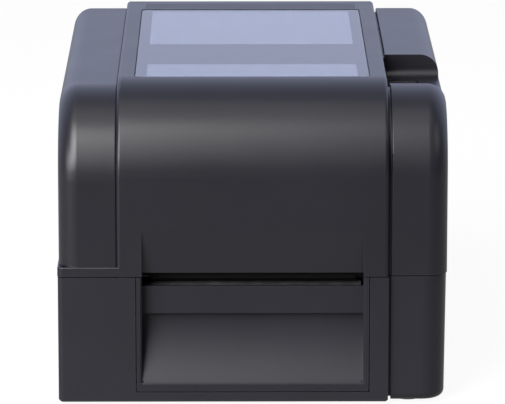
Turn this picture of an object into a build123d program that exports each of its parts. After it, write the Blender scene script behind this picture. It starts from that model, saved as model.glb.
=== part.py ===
from build123d import *
import math
import os

os.makedirs("parts", exist_ok=True)

# overall size, in millimetres
body_width = 204.0
body_depth = 280.0
body_height = 168.0
foot_height = 2.5
seam_height = 70.0
seam_gap = 0.5
wall = 2.5

# clearances
cut_over = 1.0
part_gap = 0.3
side_gap = 0.2
bearing_gap = 0.05

half_width = body_width / 2
front_y = -body_depth / 2
rear_y = body_depth / 2

# lid: centre band, cheeks and left skirt
cheek_width = 31.0
band_half = half_width - cheek_width
front_arc = 45.0
band_tail_arc = 1.5
cheek_tail_arc = 1.5
inner_corner = 1.0
shoulder_drop = 4.0
left_inset = 1.5
right_inset = 3.0
left_side_inset = 0.5
cheek_corner = 10.0
cheek_edge_round = 0.8
web_depth = 10.0
groove_width = 1.5
groove_depth = 2.0
band_edge_round = 2.0
skirt_edge_round = 0.6
skirt_height = 5.0
skirt_corner = 2.5

# lid hinge
hinge_barrel_radius = 6.0
hinge_relief = 0.4
hinge_pin_radius = 2.0
hinge_pin_length = 20.0
lug_margin = 10.5
lug_inner = band_half - lug_margin
lug_width = 7.5
lug_radius = 5.6
lug_root = 16.0
barrel_end_margin = 3.5
barrel_dome = 5.0

# exit slot, upper scoop in the lid and front bezel
scoop_side_margin = 13.0
scoop_half = band_half - scoop_side_margin
upper_scoop_rise = 24.6
upper_scoop_top = seam_height + upper_scoop_rise
upper_scoop_depth = 7.0
slot_top_rise = 0.7
bezel_side_margin = 10.2
bezel_half = band_half - bezel_side_margin
bezel_gap = 0.45
bezel_low = 8.3
lip_top_drop = 6.8
lip_top = seam_height - lip_top_drop
lip_low_drop = 21.3
lip_low = seam_height - lip_low_drop
lip_depth = 7.8
lip_lean = 0.4
lip_step = 0.8
scoop_depth = 12.4
rim_top = 12.9
rim_round = 0.7
bezel_rim_depth = 11.0
bezel_rim_bevel = 0.8
bezel_rib_thick = 2.5

# window in the lid
window_side_margin = 9.0
window_half = band_half - window_side_margin
window_setback = 44.5
window_front = front_y + window_setback
window_tail_margin = 28.0
window_rear = rear_y - window_tail_margin
window_corner = 3.0
window_thick = 2.0
mask_thick = 0.4
ledge_width = 5.0
ledge_thick = 2.0
window_drop = 0.25
pane_side_margin = 6.2
pane_half = window_half - pane_side_margin
pane_margin_front = 2.2
band_front_offset = 38.5
band_front = window_front + band_front_offset
band_rear_offset = 98.5
band_rear = window_front + band_rear_offset
pane_tail_margin = 4.5
pane_rear = window_rear - pane_tail_margin
tail_dip_gap = 2.0
tail_dip_front = window_rear + tail_dip_gap
tail_dip_margin = 9.0
tail_dip_rear = rear_y - tail_dip_margin
tail_dip_side_margin = 2.0
tail_dip_half = window_half - tail_dip_side_margin
tail_dip_depth = 1.4

# shoulder scoop and feed key
scoop_front_setback = 45.0
scoop_front_y = front_y + scoop_front_setback
scoop_rear_setback = 129.7
scoop_rear_y = front_y + scoop_rear_setback
scoop_floor_drop = 16.2
scoop_floor_height = body_height - scoop_floor_drop
scoop_front_lean = 1.2
scoop_wall_round = 4.5
key_inner_margin = 3.0
key_low_x = band_half + key_inner_margin
key_outer_margin = 12.0
key_high_x = half_width - key_outer_margin
key_front_margin = 38.0
key_front_y = scoop_front_y + key_front_margin
key_rear_margin = 9.7
key_rear_y = scoop_rear_y - key_rear_margin
key_rear_gap = 1.0
key_corner = 3.0
key_sink = 0.4
key_edge_round = 0.6
key_flange = 1.2
key_stem_half = 2.0
key_board_drop = 9.0
key_post_radius = 2.0
key_post_x = 7.0
key_post_y = 22.4
key_travel = 1.2
key_board_thick = 1.6
key_switch_half = 3.0
key_switch_height = 2.4
lens_front_margin = 11.0
lens_front_y = scoop_front_y + lens_front_margin
lens_length = 6.0
lens_rear_y = lens_front_y + lens_length
lens_half = 5.0
lens_thick = 2.0

# lower case
column_side_inset = 0.2
column_corner = 2.5
case_bottom_chamfer = 1.2
rear_corner = 10.0
pillar_corner = 12.0
pillar_bottom_round = 4.0
pillar_side_inset_top = 0.4
pillar_side_inset_low = 1.2
rear_wall_drop = 6.4
fanfold_side_margin = 14.0
fanfold_half = band_half - fanfold_side_margin
fanfold_low_drop = 20.0
fanfold_low = seam_height - fanfold_low_drop
fanfold_high_drop = 12.0
fanfold_high = seam_height - fanfold_high_drop

# feet
foot_radius = 8.0
foot_recess = 1.0
foot_inset_x = 20.0
foot_inset_y = 22.0
foot_round = 0.8

# platen
platen_setback = 24.0
platen_y = front_y + platen_setback
platen_drop = 14.0
platen_z = seam_height - platen_drop
platen_radius = 8.0
platen_side_margin = 14.0
platen_half = band_half - platen_side_margin
shaft_radius = 3.0
bush_radius = 5.5
bush_length = 4.0
bush_flange = 7.0
bush_flange_thick = 1.0
side_plate_margin = 10.0
side_plate_inner = band_half - side_plate_margin
side_plate_setback = 16.0
side_plate_front = front_y + side_plate_setback
side_plate_drop = 10.0
side_plate_top = seam_height - side_plate_drop

# gear train in the right chamber
gear_module = 1.0
platen_teeth = 24
idler_teeth = 32
pinion_teeth = 18
pressure_angle = 20.0
addendum_share = 0.9
dedendum_share = 1.25
backlash = 0.16
flank_steps = 4
gear_wall_gap = 3.0
gear_low_x = band_half + gear_wall_gap
gear_width = 5.0
idler_angle = 50.0
idler_pin_radius = 2.5
idler_pin_head = 3.6
idler_pin_head_thick = 1.2
idler_hub_radius = 5.0
motor_angle = 0.0
motor_size = 42.0
motor_length = 33.0
motor_corner = 4.0
motor_boss_radius = 11.0
motor_boss_thick = 2.0
motor_shaft_radius = 2.5
motor_hole_spacing = 31.0

# tear bar
tear_bar_thick = 1.2
tear_bar_low_drop = 18.0
tear_bar_low = seam_height - tear_bar_low_drop
tear_bar_top_drop = 7.9
tear_bar_top = seam_height - tear_bar_top_drop
tooth_pitch = 2.0
tooth_height = 0.9
tear_bar_side_margin = 15.0
tear_bar_half = band_half - tear_bar_side_margin

# media chassis
deck_front_setback = 34.0
deck_front = front_y + deck_front_setback
deck_drop = 10.0
deck_top = seam_height - deck_drop
deck_rear_setback = 90.0
deck_rear = front_y + deck_rear_setback
bay_floor_top = 22.5
bay_rear_margin = 32.0
bay_rear = rear_y - bay_rear_margin
bay_wall_drop = 4.0
bay_wall_top = seam_height - bay_wall_drop
chassis_post_radius = 4.5
chassis_post_inset = 9.0
label_mouth_low_drop = 20.0
label_mouth_low = seam_height - label_mouth_low_drop
label_mouth_high_drop = 10.0
label_mouth_high = seam_height - label_mouth_high_drop

# roll holders, rack and pinion
holder_side_margin = 19.0
holder_face = band_half - holder_side_margin
holder_thick = 3.0
holder_shift = 4.0
holder_y = (deck_rear + bay_rear) / 2 - holder_shift
roll_axis_rise = 20.0
roll_axis_z = seam_height + roll_axis_rise
hub_radius = 12.3
hub_length = 8.0
hub_chamfer = 1.5
holder_half_y = 20.0
holder_head_radius = 17.0
foot_half_y = 25.0
foot_inner_overlap = 6.0
foot_inner = holder_face - foot_inner_overlap
foot_outer_reach = 4.0
foot_outer = holder_face + foot_outer_reach
foot_slab_low = 26.5
foot_slab_top = 29.5
rack_low = 22.8
rack_top = 26.2
rack_bar = 3.2
rack_module = 1.0
rack_pinion_teeth = 12
rack_addendum_share = 0.65
rack_end_inner = 14.0
pinion_pin_radius = 2.0
pinion_pin_head = 3.4
rib_width = 3.0
rib_top = 26.0
rib_gap = 0.4

# gap sensor
sensor_setback = 56.0
sensor_y = front_y + sensor_setback
sensor_half_x = 8.0
sensor_half_y = 7.0
sensor_height = 2.4
sensor_slot_margin = 23.0
sensor_slot_half_x = band_half - sensor_slot_margin
sensor_slot_half_y = 2.2
sensor_foot_half_y = 5.0
sensor_foot_thick = 1.4

# ribbon carriage in the lid
carriage_side_margin = 10.5
carriage_face = band_half - carriage_side_margin
carriage_thick = 2.5
carriage_top_drop = 9.0
carriage_top = body_height - carriage_top_drop
carriage_beam_thick = 2.5
carriage_beam_front_setback = 50.0
carriage_beam_front = front_y + carriage_beam_front_setback
carriage_beam_rear_setback = 88.0
carriage_beam_rear = front_y + carriage_beam_rear_setback
carriage_boss_radius = 3.6
carriage_boss_inset = 0.5
carriage_boss_x = carriage_face - carriage_boss_inset
carriage_low_rise = 2.0
carriage_low = seam_height + carriage_low_rise
carriage_rear_low_setback = 92.0
carriage_rear_low_y = front_y + carriage_rear_low_setback
carriage_rear_high_setback = 94.0
carriage_rear_high_y = front_y + carriage_rear_high_setback
carriage_front_low_setback = 18.0
carriage_front_low_y = front_y + carriage_front_low_setback
carriage_front_high_setback = 28.0
carriage_front_high_y = front_y + carriage_front_high_setback
carriage_front_high_drop = 22.0
carriage_front_high_z = body_height - carriage_front_high_drop
carriage_waist_rise = 30.0
carriage_waist_z = seam_height + carriage_waist_rise
ribbon_shaft_gap = 0.4
spring_bar_front_setback = 19.0
spring_bar_front = front_y + spring_bar_front_setback
spring_bar_rear_setback = 34.0
spring_bar_rear = front_y + spring_bar_rear_setback
spring_bar_rise = 14.0
spring_bar_low = seam_height + spring_bar_rise
spring_bar_thick = 3.0
supply_setback = 74.0
supply_y = front_y + supply_setback
supply_rise = 22.0
supply_z = seam_height + supply_rise
rewind_setback = 40.0
rewind_y = front_y + rewind_setback
rewind_drop = 43.0
rewind_z = body_height - rewind_drop
ribbon_hub_radius = 6.0
ribbon_hub_length = 11.0
ribbon_flange_radius = 15.0
ribbon_flange_thick = 1.6
ribbon_stub_radius = 3.0
ribbon_fin_height = 1.2
ribbon_fin_width = 1.4
ribbon_fins = 3
ribbon_cap_radius = 4.5
ribbon_cap_thick = 1.4
ribbon_module = 0.8
rewind_teeth = 40
ribbon_pinion_teeth = 16
ribbon_gear_width = 3.6
ribbon_drive_angle = 26.0
ribbon_motor_radius = 12.0
ribbon_motor_length = 17.0
ribbon_post_radius = 2.0
ribbon_post_offset = 10.0
ribbon_shaft_radius = 1.5

# thermal head
head_side_margin = 17.0
head_half = band_half - head_side_margin
head_front_setback = 15.0
head_front = front_y + head_front_setback
head_rear_setback = 36.0
head_rear = front_y + head_rear_setback
head_thick = 3.2
head_gap = 0.3
bracket_side_margin = 13.0
bracket_half = band_half - bracket_side_margin
bracket_rear_setback = 54.0
bracket_rear = front_y + bracket_rear_setback
bracket_thick = 1.5
head_pivot_setback = 48.0
head_pivot_y = front_y + head_pivot_setback
head_pivot_rise = 10.0
head_pivot_z = seam_height + head_pivot_rise
head_pivot_radius = 2.0
head_ear_half = 5.5
head_rod_head = 3.6
head_rod_head_thick = 1.0
spring_x = 34.0
spring_radius = 3.6
spring_wire = 0.5
spring_end_gap = 0.05
spring_turns = 5

# lid release tabs
latch_front_setback = 76.0
latch_front_y = front_y + latch_front_setback
latch_rear_setback = 104.0
latch_rear_y = front_y + latch_rear_setback
latch_low_rise = 12.0
latch_low_z = seam_height + latch_low_rise
latch_high_rise = 28.0
latch_high_z = seam_height + latch_high_rise
latch_corner = 3.0
latch_thick = 2.4
latch_arm_half = 5.0
latch_arm_thick = 2.0
latch_flange = 1.6
latch_recess = 1.0
latch_guide_radius = 2.0
latch_guide_length = 14.0
latch_bridge_depth = 12.0
latch_out_gap = 0.3
latch_seat_thick = 2.0
latch_seat_half = 7.0
latch_nose_drop = 5.0
latch_spring_radius = 3.2
latch_spring_turns = 5

# electronics and rear panel
board_thick = 1.6
board_low = 10.0
board_side_margin = 15.0
board_right = band_half - board_side_margin
board_front_setback = 132.0
board_front = rear_y - board_front_setback
board_rear_margin = 6.0
board_rear = rear_y - board_rear_margin
board_post_radius = 3.5
board_post_inset = 6.0
inlet_margin = 12.0
inlet_x = board_right - inlet_margin
inlet_half = 6.0
inlet_height = 12.0
inlet_bore_radius = 3.2
inlet_pin_radius = 1.1
inlet_pin_back = 1.0
usb_pitch = 22.0
usb_x = inlet_x - usb_pitch
usb_half = 6.0
usb_height = 11.0
usb_cavity_half = 4.3
usb_cavity_height = 7.8
usb_tongue_half = 2.8
usb_tongue_height = 3.2
network_pitch = 22.0
network_x = usb_x - network_pitch
network_half = 8.0
network_height = 13.5
network_cavity_half = 5.9
network_cavity_height = 8.0
serial_pitch = 28.0
serial_x = network_x - serial_pitch
board_left_margin = 28.0
board_left = serial_x - board_left_margin
serial_half = 15.5
serial_height = 12.5
serial_shell_half = 9.6
serial_shell_height = 8.4
serial_shell_wall = 0.6
serial_shell_out = 5.5
serial_nut_radius = 2.4
serial_pin_radius = 0.5
serial_pin_pitch = 2.77
serial_top_pin_count = 5
serial_low_pin_count = 4
port_depth = 16.0
port_cavity_depth = 11.0
port_cut_gap = 0.3
port_set_back = 0.4
chip_rows_offset = 32.0
chip_rows_y = board_front + chip_rows_offset
chip_main_half = 9.0
chip_main_offset = 10.0
chip_main_x = network_x + chip_main_offset
chip_memory_half = 5.0
chip_memory_offset = 14.0
chip_memory_x = network_x - chip_memory_offset
chip_driver_half = 4.0
chip_driver_margin = 20.0
chip_driver_x = board_right - chip_driver_margin
can_radius = 4.0
can_height = 7.0
can_margin = 18.0
can_x = board_right - can_margin
can_front_offset = 58.0
can_front_y = board_front + can_front_offset
can_rear_offset = 72.0
can_rear_y = board_front + can_rear_offset
header_half_x = 12.0
header_half_y = 2.5
header_height = 6.0
header_offset = 8.0
header_y = board_front + header_offset
switch_margin = 22.0
switch_x = switch_margin - half_width
switch_z = 40.0
rocker_half_x = 6.0
rocker_half_z = 10.0
switch_face_drop = 0.8
rocker_gap = 0.3
rocker_rest_tilt = 7.0
rocker_crown = 2.0
rocker_edge_rise = 4.1
rocker_back = 1.5
rocker_pivot_y_drop = 5.5
rocker_pivot_radius = 1.0
rocker_pivot_length = 1.3
switch_terminal_half = 2.0
switch_terminal_length = 6.0
switch_body_depth = 15.0
switch_wall = 1.5
chip_height = 2.4

# side cover's screw bosses
side_boss_radius = 4.0
side_boss_front_setback = 120.0
side_boss_front_y = front_y + side_boss_front_setback
side_boss_front_drop = 20.0
side_boss_front_z = seam_height - side_boss_front_drop
side_boss_mid_margin = 80.0
side_boss_mid_y = rear_y - side_boss_mid_margin
side_boss_mid_z = 20.0
side_boss_rear_margin = 28.0
side_boss_rear_y = rear_y - side_boss_rear_margin
side_boss_rear_drop = 26.0
side_boss_rear_z = seam_height - side_boss_rear_drop

# fasteners
screw_radius = 1.5
screw_head_radius = 2.9
screw_head_height = 1.2
screw_clearance = 0.15
screw_slot_radius = 1.3
screw_slot_depth = 1.0
screw_socket_sides = 6
case_screw_length = 12.0
side_screw_length = 8.0
board_screw_length = 5.0
lid_screw_length = 4.6
lid_screw_edge = 7.0
lid_screw_front_rise = 35.0
lid_screw_front_z = seam_height + lid_screw_front_rise
lid_screw_mid_offset = 12.3
lid_screw_mid_y = scoop_rear_y + lid_screw_mid_offset
lid_screw_rear_margin = 60.0
lid_screw_rear_y = rear_y - lid_screw_rear_margin
motor_screw_length = 6.0

# places that follow from the sizes above
case_low = foot_height
case_top = seam_height - seam_gap
board_top = board_low + board_thick
floor_top = case_low + wall
hinge_y = rear_y - hinge_barrel_radius
hinge_z = seam_height
right_wall_outer = band_half
right_wall_inner = right_wall_outer - wall
column_outer = half_width - column_side_inset
pillar_front = front_y + right_inset
pillar_left = band_half + groove_width


lid_screw_places = [
    (front_y + lid_screw_edge, lid_screw_front_z),
    (lid_screw_mid_y, body_height - lid_screw_edge),
    (lid_screw_rear_y, body_height - lid_screw_edge),
]


def block(x_low, x_high, y_low, y_high, z_low, z_high, mode=Mode.ADD):
    # a box between two corners, in the open part
    centre = ((x_low + x_high) / 2, (y_low + y_high) / 2, (z_low + z_high) / 2)
    with Locations(centre):
        Box(x_high - x_low, y_high - y_low, z_high - z_low, mode=mode)


def rod_x(y, z, radius, x_low, x_high, mode=Mode.ADD):
    # a round bar along X, in the open part
    with BuildSketch(Plane.YZ.offset(x_low)) as section:
        with Locations((y, z)):
            Circle(radius)
    extrude(section.sketch, amount=x_high - x_low, mode=mode)


def rod_z(x, y, radius, z_low, z_high, mode=Mode.ADD):
    # a round bar along Z, in the open part
    with BuildSketch(Plane.XY.offset(z_low)) as section:
        with Locations((x, y)):
            Circle(radius)
    extrude(section.sketch, amount=z_high - z_low, mode=mode)


def plate_x(points, x_low, x_high, mode=Mode.ADD):
    # a flat plate square to X, from outline points (y, z)
    with BuildSketch(Plane.YZ.offset(x_low)) as section:
        with BuildLine():
            Polyline(*points, close=True)
        make_face()
    extrude(section.sketch, amount=x_high - x_low, mode=mode)


def finish(piece, name):
    # labels a piece and writes its file
    piece.part.label = name
    export_step(piece.part, "parts/" + name + ".step")


def case_form(x_low, x_high, y_front, y_rear, z_low, z_top, nose_arc, tail_arc):
    # a solid with the case's side view: round nose above, small round tail
    with BuildPart() as form:
        with BuildSketch(Plane.YZ.offset(x_low)) as side_view:
            with Locations(((y_front + y_rear) / 2, (z_low + z_top) / 2)):
                Rectangle(y_rear - y_front, z_top - z_low)
            fillet(side_view.vertices().group_by(Axis.Y)[-1].sort_by(Axis.X)[0], nose_arc)
            fillet(side_view.vertices().group_by(Axis.Y)[-1].sort_by(Axis.X)[-1], tail_arc)
        extrude(amount=x_high - x_low)
    return form.part


def cheek_form(side, inner_x, outer_x, inset, low, shrink, corner, tail):
    # a cheek's solid: the case's side view with its outer edge rounded right along
    y_front = front_y + inset + shrink
    top = body_height - shoulder_drop - shrink
    nose = front_arc - inset - shrink
    x_low = min(side * inner_x, side * outer_x)
    x_high = max(side * inner_x, side * outer_x)
    with BuildPart() as form:
        with BuildSketch(Plane.YZ.offset(x_low)) as side_view:
            with Locations(((y_front + rear_y - shrink) / 2, (low + top) / 2)):
                Rectangle(rear_y - shrink - y_front, top - low)
            fillet(side_view.vertices().group_by(Axis.Y)[-1].sort_by(Axis.X)[0], nose)
        extrude(amount=x_high - x_low)
        outer_face = form.faces().sort_by(Axis.X)[0 if side < 0 else -1]
        bottom_edge = outer_face.edges().sort_by(Axis.Z)[0]
        fillet([edge for edge in outer_face.edges() if edge != bottom_edge], corner)
        if tail > 0:
            rear_edges = form.faces().sort_by(Axis.Y)[-1].edges()
            fillet(rear_edges.filter_by(Axis.X).sort_by(Axis.Z)[-1], tail)
    return form.part


def latch_window(outer, side):
    # the shallow recess and the opening for a release tab, cut in a cheek's side
    centre_y = (latch_front_y + latch_rear_y) / 2
    centre_z = (latch_low_z + latch_high_z) / 2
    length = latch_rear_y - latch_front_y
    height = latch_high_z - latch_low_z
    x_out = side * (outer + cut_over)
    for grow, depth in ((part_gap, wall + cut_over), (latch_flange + part_gap, latch_recess)):
        with BuildSketch(Plane.YZ.offset(x_out)) as tab_outline:
            with Locations((centre_y, centre_z)):
                RectangleRounded(length + 2 * grow, height + 2 * grow, latch_corner + grow)
        extrude(tab_outline.sketch, amount=-side * (depth + cut_over), mode=Mode.SUBTRACT)


def latch_bridge(outer, side):
    # the bridge on a cheek's inner wall that guides a release tab's pin
    bridge_low = outer - wall - latch_bridge_depth
    leg_low = side * bridge_low
    leg_high = side * (outer - wall / 2)
    face_high = side * (bridge_low + latch_seat_thick)
    centre_y = (latch_front_y + latch_rear_y) / 2
    centre_z = (latch_low_z + latch_high_z) / 2
    half_span = (latch_rear_y - latch_front_y) / 2 + latch_flange + part_gap + latch_seat_thick
    for end in (-1, 1):
        leg_a = centre_y + end * half_span
        leg_b = centre_y + end * (half_span - latch_seat_thick)
        block(
            min(leg_low, leg_high), max(leg_low, leg_high), min(leg_a, leg_b), max(leg_a, leg_b),
            centre_z - latch_seat_half, centre_z + latch_seat_half
        )
    block(
        min(leg_low, face_high), max(leg_low, face_high), centre_y - half_span, centre_y + half_span,
        centre_z - latch_seat_half, centre_z + latch_seat_half
    )
    rod_x(
        centre_y, centre_z, latch_guide_radius + bearing_gap,
        min(leg_low, face_high) - cut_over, max(leg_low, face_high) + cut_over, Mode.SUBTRACT
    )


def lid_screw_holes(x_low, x_high, clearance):
    # holes along X for the screws that hold a cheek to the band
    for y, z in lid_screw_places:
        rod_x(y, z, screw_radius + clearance, x_low, x_high, Mode.SUBTRACT)


def barrel(x_low, x_high, domed_end):
    # a length of the lid's hinge barrel with one domed end
    with BuildPart() as bead:
        with BuildSketch(Plane.YZ.offset(x_low)):
            with Locations((hinge_y, hinge_z)):
                Circle(hinge_barrel_radius)
        extrude(amount=x_high - x_low)
        fillet(bead.faces().sort_by(Axis.X)[domed_end].edges(), barrel_dome)
    return bead.part


# lid centre frame
band_solid = case_form(
    -band_half, band_half, front_y, rear_y, seam_height, body_height, front_arc, band_tail_arc
)
band_hollow = case_form(
    -band_half + wall, band_half - wall, front_y + wall, rear_y - wall,
    seam_height - cut_over, body_height - wall, front_arc - wall, inner_corner
)
band_web_hollow = case_form(
    -band_half - cut_over, band_half + cut_over, front_y + web_depth, rear_y - web_depth,
    seam_height - cut_over, body_height - web_depth, front_arc - web_depth, inner_corner
)
ledge_low = body_height - window_thick - mask_thick - window_drop - ledge_thick

with BuildPart() as lid_hollow:
    add(band_hollow)
    block(
        -window_half - ledge_width, window_half + ledge_width,
        window_front - ledge_width, window_rear + ledge_width,
        ledge_low, body_height, Mode.SUBTRACT
    )

with BuildPart() as skirt_ring:
    with BuildSketch(Plane.XY.offset(seam_height)) as skirt_plan:
        with Locations(((-half_width - band_half + band_edge_round) / 2, 0)):
            Rectangle(half_width - band_half + band_edge_round, body_depth)
        fillet(skirt_plan.vertices().group_by(Axis.X)[0].sort_by(Axis.Y)[0], skirt_corner)
        fillet(skirt_plan.vertices().group_by(Axis.X)[0].sort_by(Axis.Y)[-1], rear_corner)
    extrude(amount=skirt_height)
    fillet(skirt_ring.faces().sort_by(Axis.Z)[-1].edges(), skirt_edge_round)
    block(
        -half_width + wall, -band_half + wall, front_y + wall, rear_y - wall,
        seam_height - cut_over, seam_height + skirt_height + cut_over, Mode.SUBTRACT
    )

with BuildPart() as cover_frame:
    add(band_solid)
    end_faces = cover_frame.faces().sort_by(Axis.X)
    long_edges = end_faces[0].edges() + end_faces[-1].edges()
    fillet([edge for edge in long_edges if edge.center().Z > seam_height + wall], band_edge_round)
    add(lid_hollow.part, mode=Mode.SUBTRACT)
    # side openings that leave a web along both edges of the band
    add(band_web_hollow, mode=Mode.SUBTRACT)
    # the window's ledge and pocket, and the fall behind the window
    block(
        -window_half - ledge_width, window_half + ledge_width,
        window_front - ledge_width / 2, window_rear + ledge_width,
        ledge_low, body_height - window_drop - window_thick
    )
    block(
        -window_half + ledge_width, window_half - ledge_width,
        window_front + ledge_width, window_rear - ledge_width,
        ledge_low - cut_over, body_height + cut_over, Mode.SUBTRACT
    )
    with BuildSketch(Plane.XY.offset(body_height - window_drop - window_thick - mask_thick)) as pocket:
        with Locations((0, (window_front + window_rear) / 2)):
            Rectangle(2 * (window_half + side_gap), window_rear - window_front + 2 * side_gap)
        fillet(pocket.vertices(), window_corner + side_gap)
    extrude(amount=body_height, mode=Mode.SUBTRACT)
    plate_x(
        [
            (tail_dip_front, body_height + cut_over),
            (tail_dip_front, body_height - tail_dip_depth),
            (tail_dip_rear, body_height),
            (tail_dip_rear, body_height + cut_over),
        ],
        -tail_dip_half, tail_dip_half, Mode.SUBTRACT
    )
    # upper scoop: backing behind it, then the sloped recess down to the slot
    plate_x(
        [
            (front_y + wall / 2, upper_scoop_top + wall),
            (front_y + wall / 2, seam_height),
            (front_y + upper_scoop_depth + wall, seam_height),
        ],
        -scoop_half - wall, scoop_half + wall
    )
    plate_x(
        [
            (front_y - cut_over, upper_scoop_top),
            (front_y, upper_scoop_top),
            (front_y + upper_scoop_depth, seam_height + slot_top_rise),
            (front_y + upper_scoop_depth + wall + cut_over, seam_height + slot_top_rise),
            (front_y + upper_scoop_depth + wall + cut_over, seam_height - cut_over),
            (front_y - cut_over, seam_height - cut_over),
        ],
        -scoop_half, scoop_half, Mode.SUBTRACT
    )
    add(skirt_ring.part)
    # hinge barrel along the rear edge, with slots for the case's lugs
    add(barrel(-half_width + barrel_end_margin, band_half, 0))
    rod_x(
        hinge_y, hinge_z, hinge_pin_radius + bearing_gap,
        -half_width + barrel_end_margin + wall, band_half + cut_over, Mode.SUBTRACT
    )
    lid_screw_holes(-band_half - cut_over, band_half + cut_over, screw_clearance)
    for side in (-1, 1):
        slot_a = side * (lug_inner - part_gap)
        slot_b = side * (lug_inner + lug_width + part_gap)
        block(
            min(slot_a, slot_b), max(slot_a, slot_b),
            hinge_y - hinge_barrel_radius - cut_over, rear_y + cut_over,
            hinge_z - hinge_barrel_radius - cut_over, hinge_z + hinge_barrel_radius + cut_over,
            Mode.SUBTRACT
        )
finish(cover_frame, "cover_frame")

# left cheek, seated on the skirt
cheek_low = seam_height + skirt_height
left_outer = half_width - left_side_inset
left_solid = cheek_form(-1, band_half, left_outer, left_inset, cheek_low, 0, cheek_corner, cheek_tail_arc)
left_hollow = cheek_form(
    -1, band_half + wall, left_outer - wall, left_inset, cheek_low - cut_over, wall, cheek_corner - wall, 0
)
left_web_hollow = case_form(
    -band_half - wall - cut_over, -band_half + cut_over,
    front_y + left_inset + web_depth, rear_y - web_depth,
    cheek_low - cut_over, body_height - shoulder_drop - web_depth,
    front_arc - left_inset - web_depth, inner_corner
)
with BuildPart() as left_cheek:
    add(left_solid)
    inner_edges = left_cheek.faces().sort_by(Axis.X)[-1].edges()
    fillet([edge for edge in inner_edges if edge.center().Z > cheek_low + wall], cheek_edge_round)
    add(left_hollow, mode=Mode.SUBTRACT)
    add(left_web_hollow, mode=Mode.SUBTRACT)
    rod_x(
        hinge_y, hinge_z, hinge_barrel_radius + part_gap,
        -half_width, -band_half + cut_over, Mode.SUBTRACT
    )
    latch_window(left_outer, -1)
    latch_bridge(left_outer, -1)
    lid_screw_holes(-band_half - wall - cut_over, -band_half + cut_over, bearing_gap)
finish(left_cheek, "left_cheek")

# right cheek, with a sunken lip that makes the dark groove beside the band
right_solid = cheek_form(
    1, pillar_left, half_width, right_inset, seam_height, 0, cheek_corner, cheek_tail_arc
)
right_lip = case_form(
    band_half, pillar_left + wall, front_y + right_inset + groove_depth, rear_y - groove_depth,
    seam_height, body_height - shoulder_drop - groove_depth,
    front_arc - right_inset - groove_depth, inner_corner
)
right_hollow = cheek_form(
    1, pillar_left + wall, half_width - wall, right_inset, seam_height - cut_over, wall,
    cheek_corner - wall, 0
)
right_web_hollow = case_form(
    band_half - cut_over, pillar_left + wall + cut_over,
    front_y + right_inset + web_depth, rear_y - web_depth,
    seam_height - cut_over, body_height - shoulder_drop - web_depth,
    front_arc - right_inset - web_depth, inner_corner
)
key_centre_x = (key_low_x + key_high_x) / 2
key_centre_y = (key_front_y + key_rear_y) / 2
key_board_top = scoop_floor_height - wall - key_board_drop
key_post_places = [
    (key_centre_x + x_side * key_post_x, key_centre_y + y_side * key_post_y)
    for x_side in (-1, 1)
    for y_side in (-1, 1)
]
scoop_under = scoop_floor_height - wall
with BuildPart() as scoop_pan:
    # the pan under the scoop: floor and two end walls, cut to the cheek's outer form
    block(band_half, half_width, scoop_front_y - wall, scoop_rear_y + wall, scoop_under, body_height)
    add(right_solid, mode=Mode.INTERSECT)
with BuildPart() as scoop_cut:
    with BuildSketch(Plane.YZ.offset(band_half - cut_over)) as scoop_side:
        with BuildLine():
            Polyline(
                (scoop_front_y, body_height), (scoop_front_y + scoop_front_lean, scoop_floor_height),
                (scoop_rear_y, scoop_floor_height), (scoop_rear_y, body_height), close=True
            )
        make_face()
        fillet(scoop_side.vertices().group_by(Axis.Y)[0].sort_by(Axis.X)[-1], scoop_wall_round)
    extrude(amount=half_width - band_half + 2 * cut_over)
with BuildPart() as right_cheek:
    add(right_solid)
    inner_edges = right_cheek.faces().sort_by(Axis.X)[0].edges()
    fillet([edge for edge in inner_edges if edge.center().Z > seam_height + wall], cheek_edge_round)
    add(right_lip)
    add(right_hollow, mode=Mode.SUBTRACT)
    add(right_web_hollow, mode=Mode.SUBTRACT)
    add(scoop_pan.part)
    add(scoop_cut.part, mode=Mode.SUBTRACT)
    # openings in the scoop's floor for the feed key and the status lens
    with BuildSketch(Plane.XY.offset(scoop_under - cut_over)) as key_hole:
        with Locations((key_centre_x, key_centre_y)):
            RectangleRounded(
                key_high_x - key_low_x + 2 * part_gap, key_rear_y - key_front_y + 2 * part_gap,
                key_corner + part_gap
            )
        with Locations((key_centre_x, key_rear_y)):
            Rectangle(key_high_x - key_low_x - 2 * key_corner, 2 * key_rear_gap)
        with Locations((key_centre_x, (lens_front_y + lens_rear_y) / 2)):
            Rectangle(2 * lens_half, lens_rear_y - lens_front_y)
    extrude(amount=wall + 2 * cut_over, mode=Mode.SUBTRACT)
    add(barrel(pillar_left + wall, half_width - barrel_end_margin, -1))
    # posts that carry the key board
    for x, y in key_post_places:
        rod_z(x, y, key_post_radius, key_board_top, scoop_under)
    latch_window(half_width, 1)
    latch_bridge(half_width, 1)
    lid_screw_holes(band_half - cut_over, pillar_left + wall + cut_over, bearing_gap)
finish(right_cheek, "right_cheek")

# window panel and its printed mask
with BuildPart() as window_panel:
    with BuildSketch(Plane.XY.offset(body_height - window_drop - window_thick)) as window_plan:
        with Locations((0, (window_front + window_rear) / 2)):
            Rectangle(2 * window_half, window_rear - window_front)
        fillet(window_plan.vertices(), window_corner)
    extrude(amount=window_thick)
    chamfer(window_panel.faces().sort_by(Axis.Z)[-1].edges(), window_drop)
finish(window_panel, "window_panel")

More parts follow.
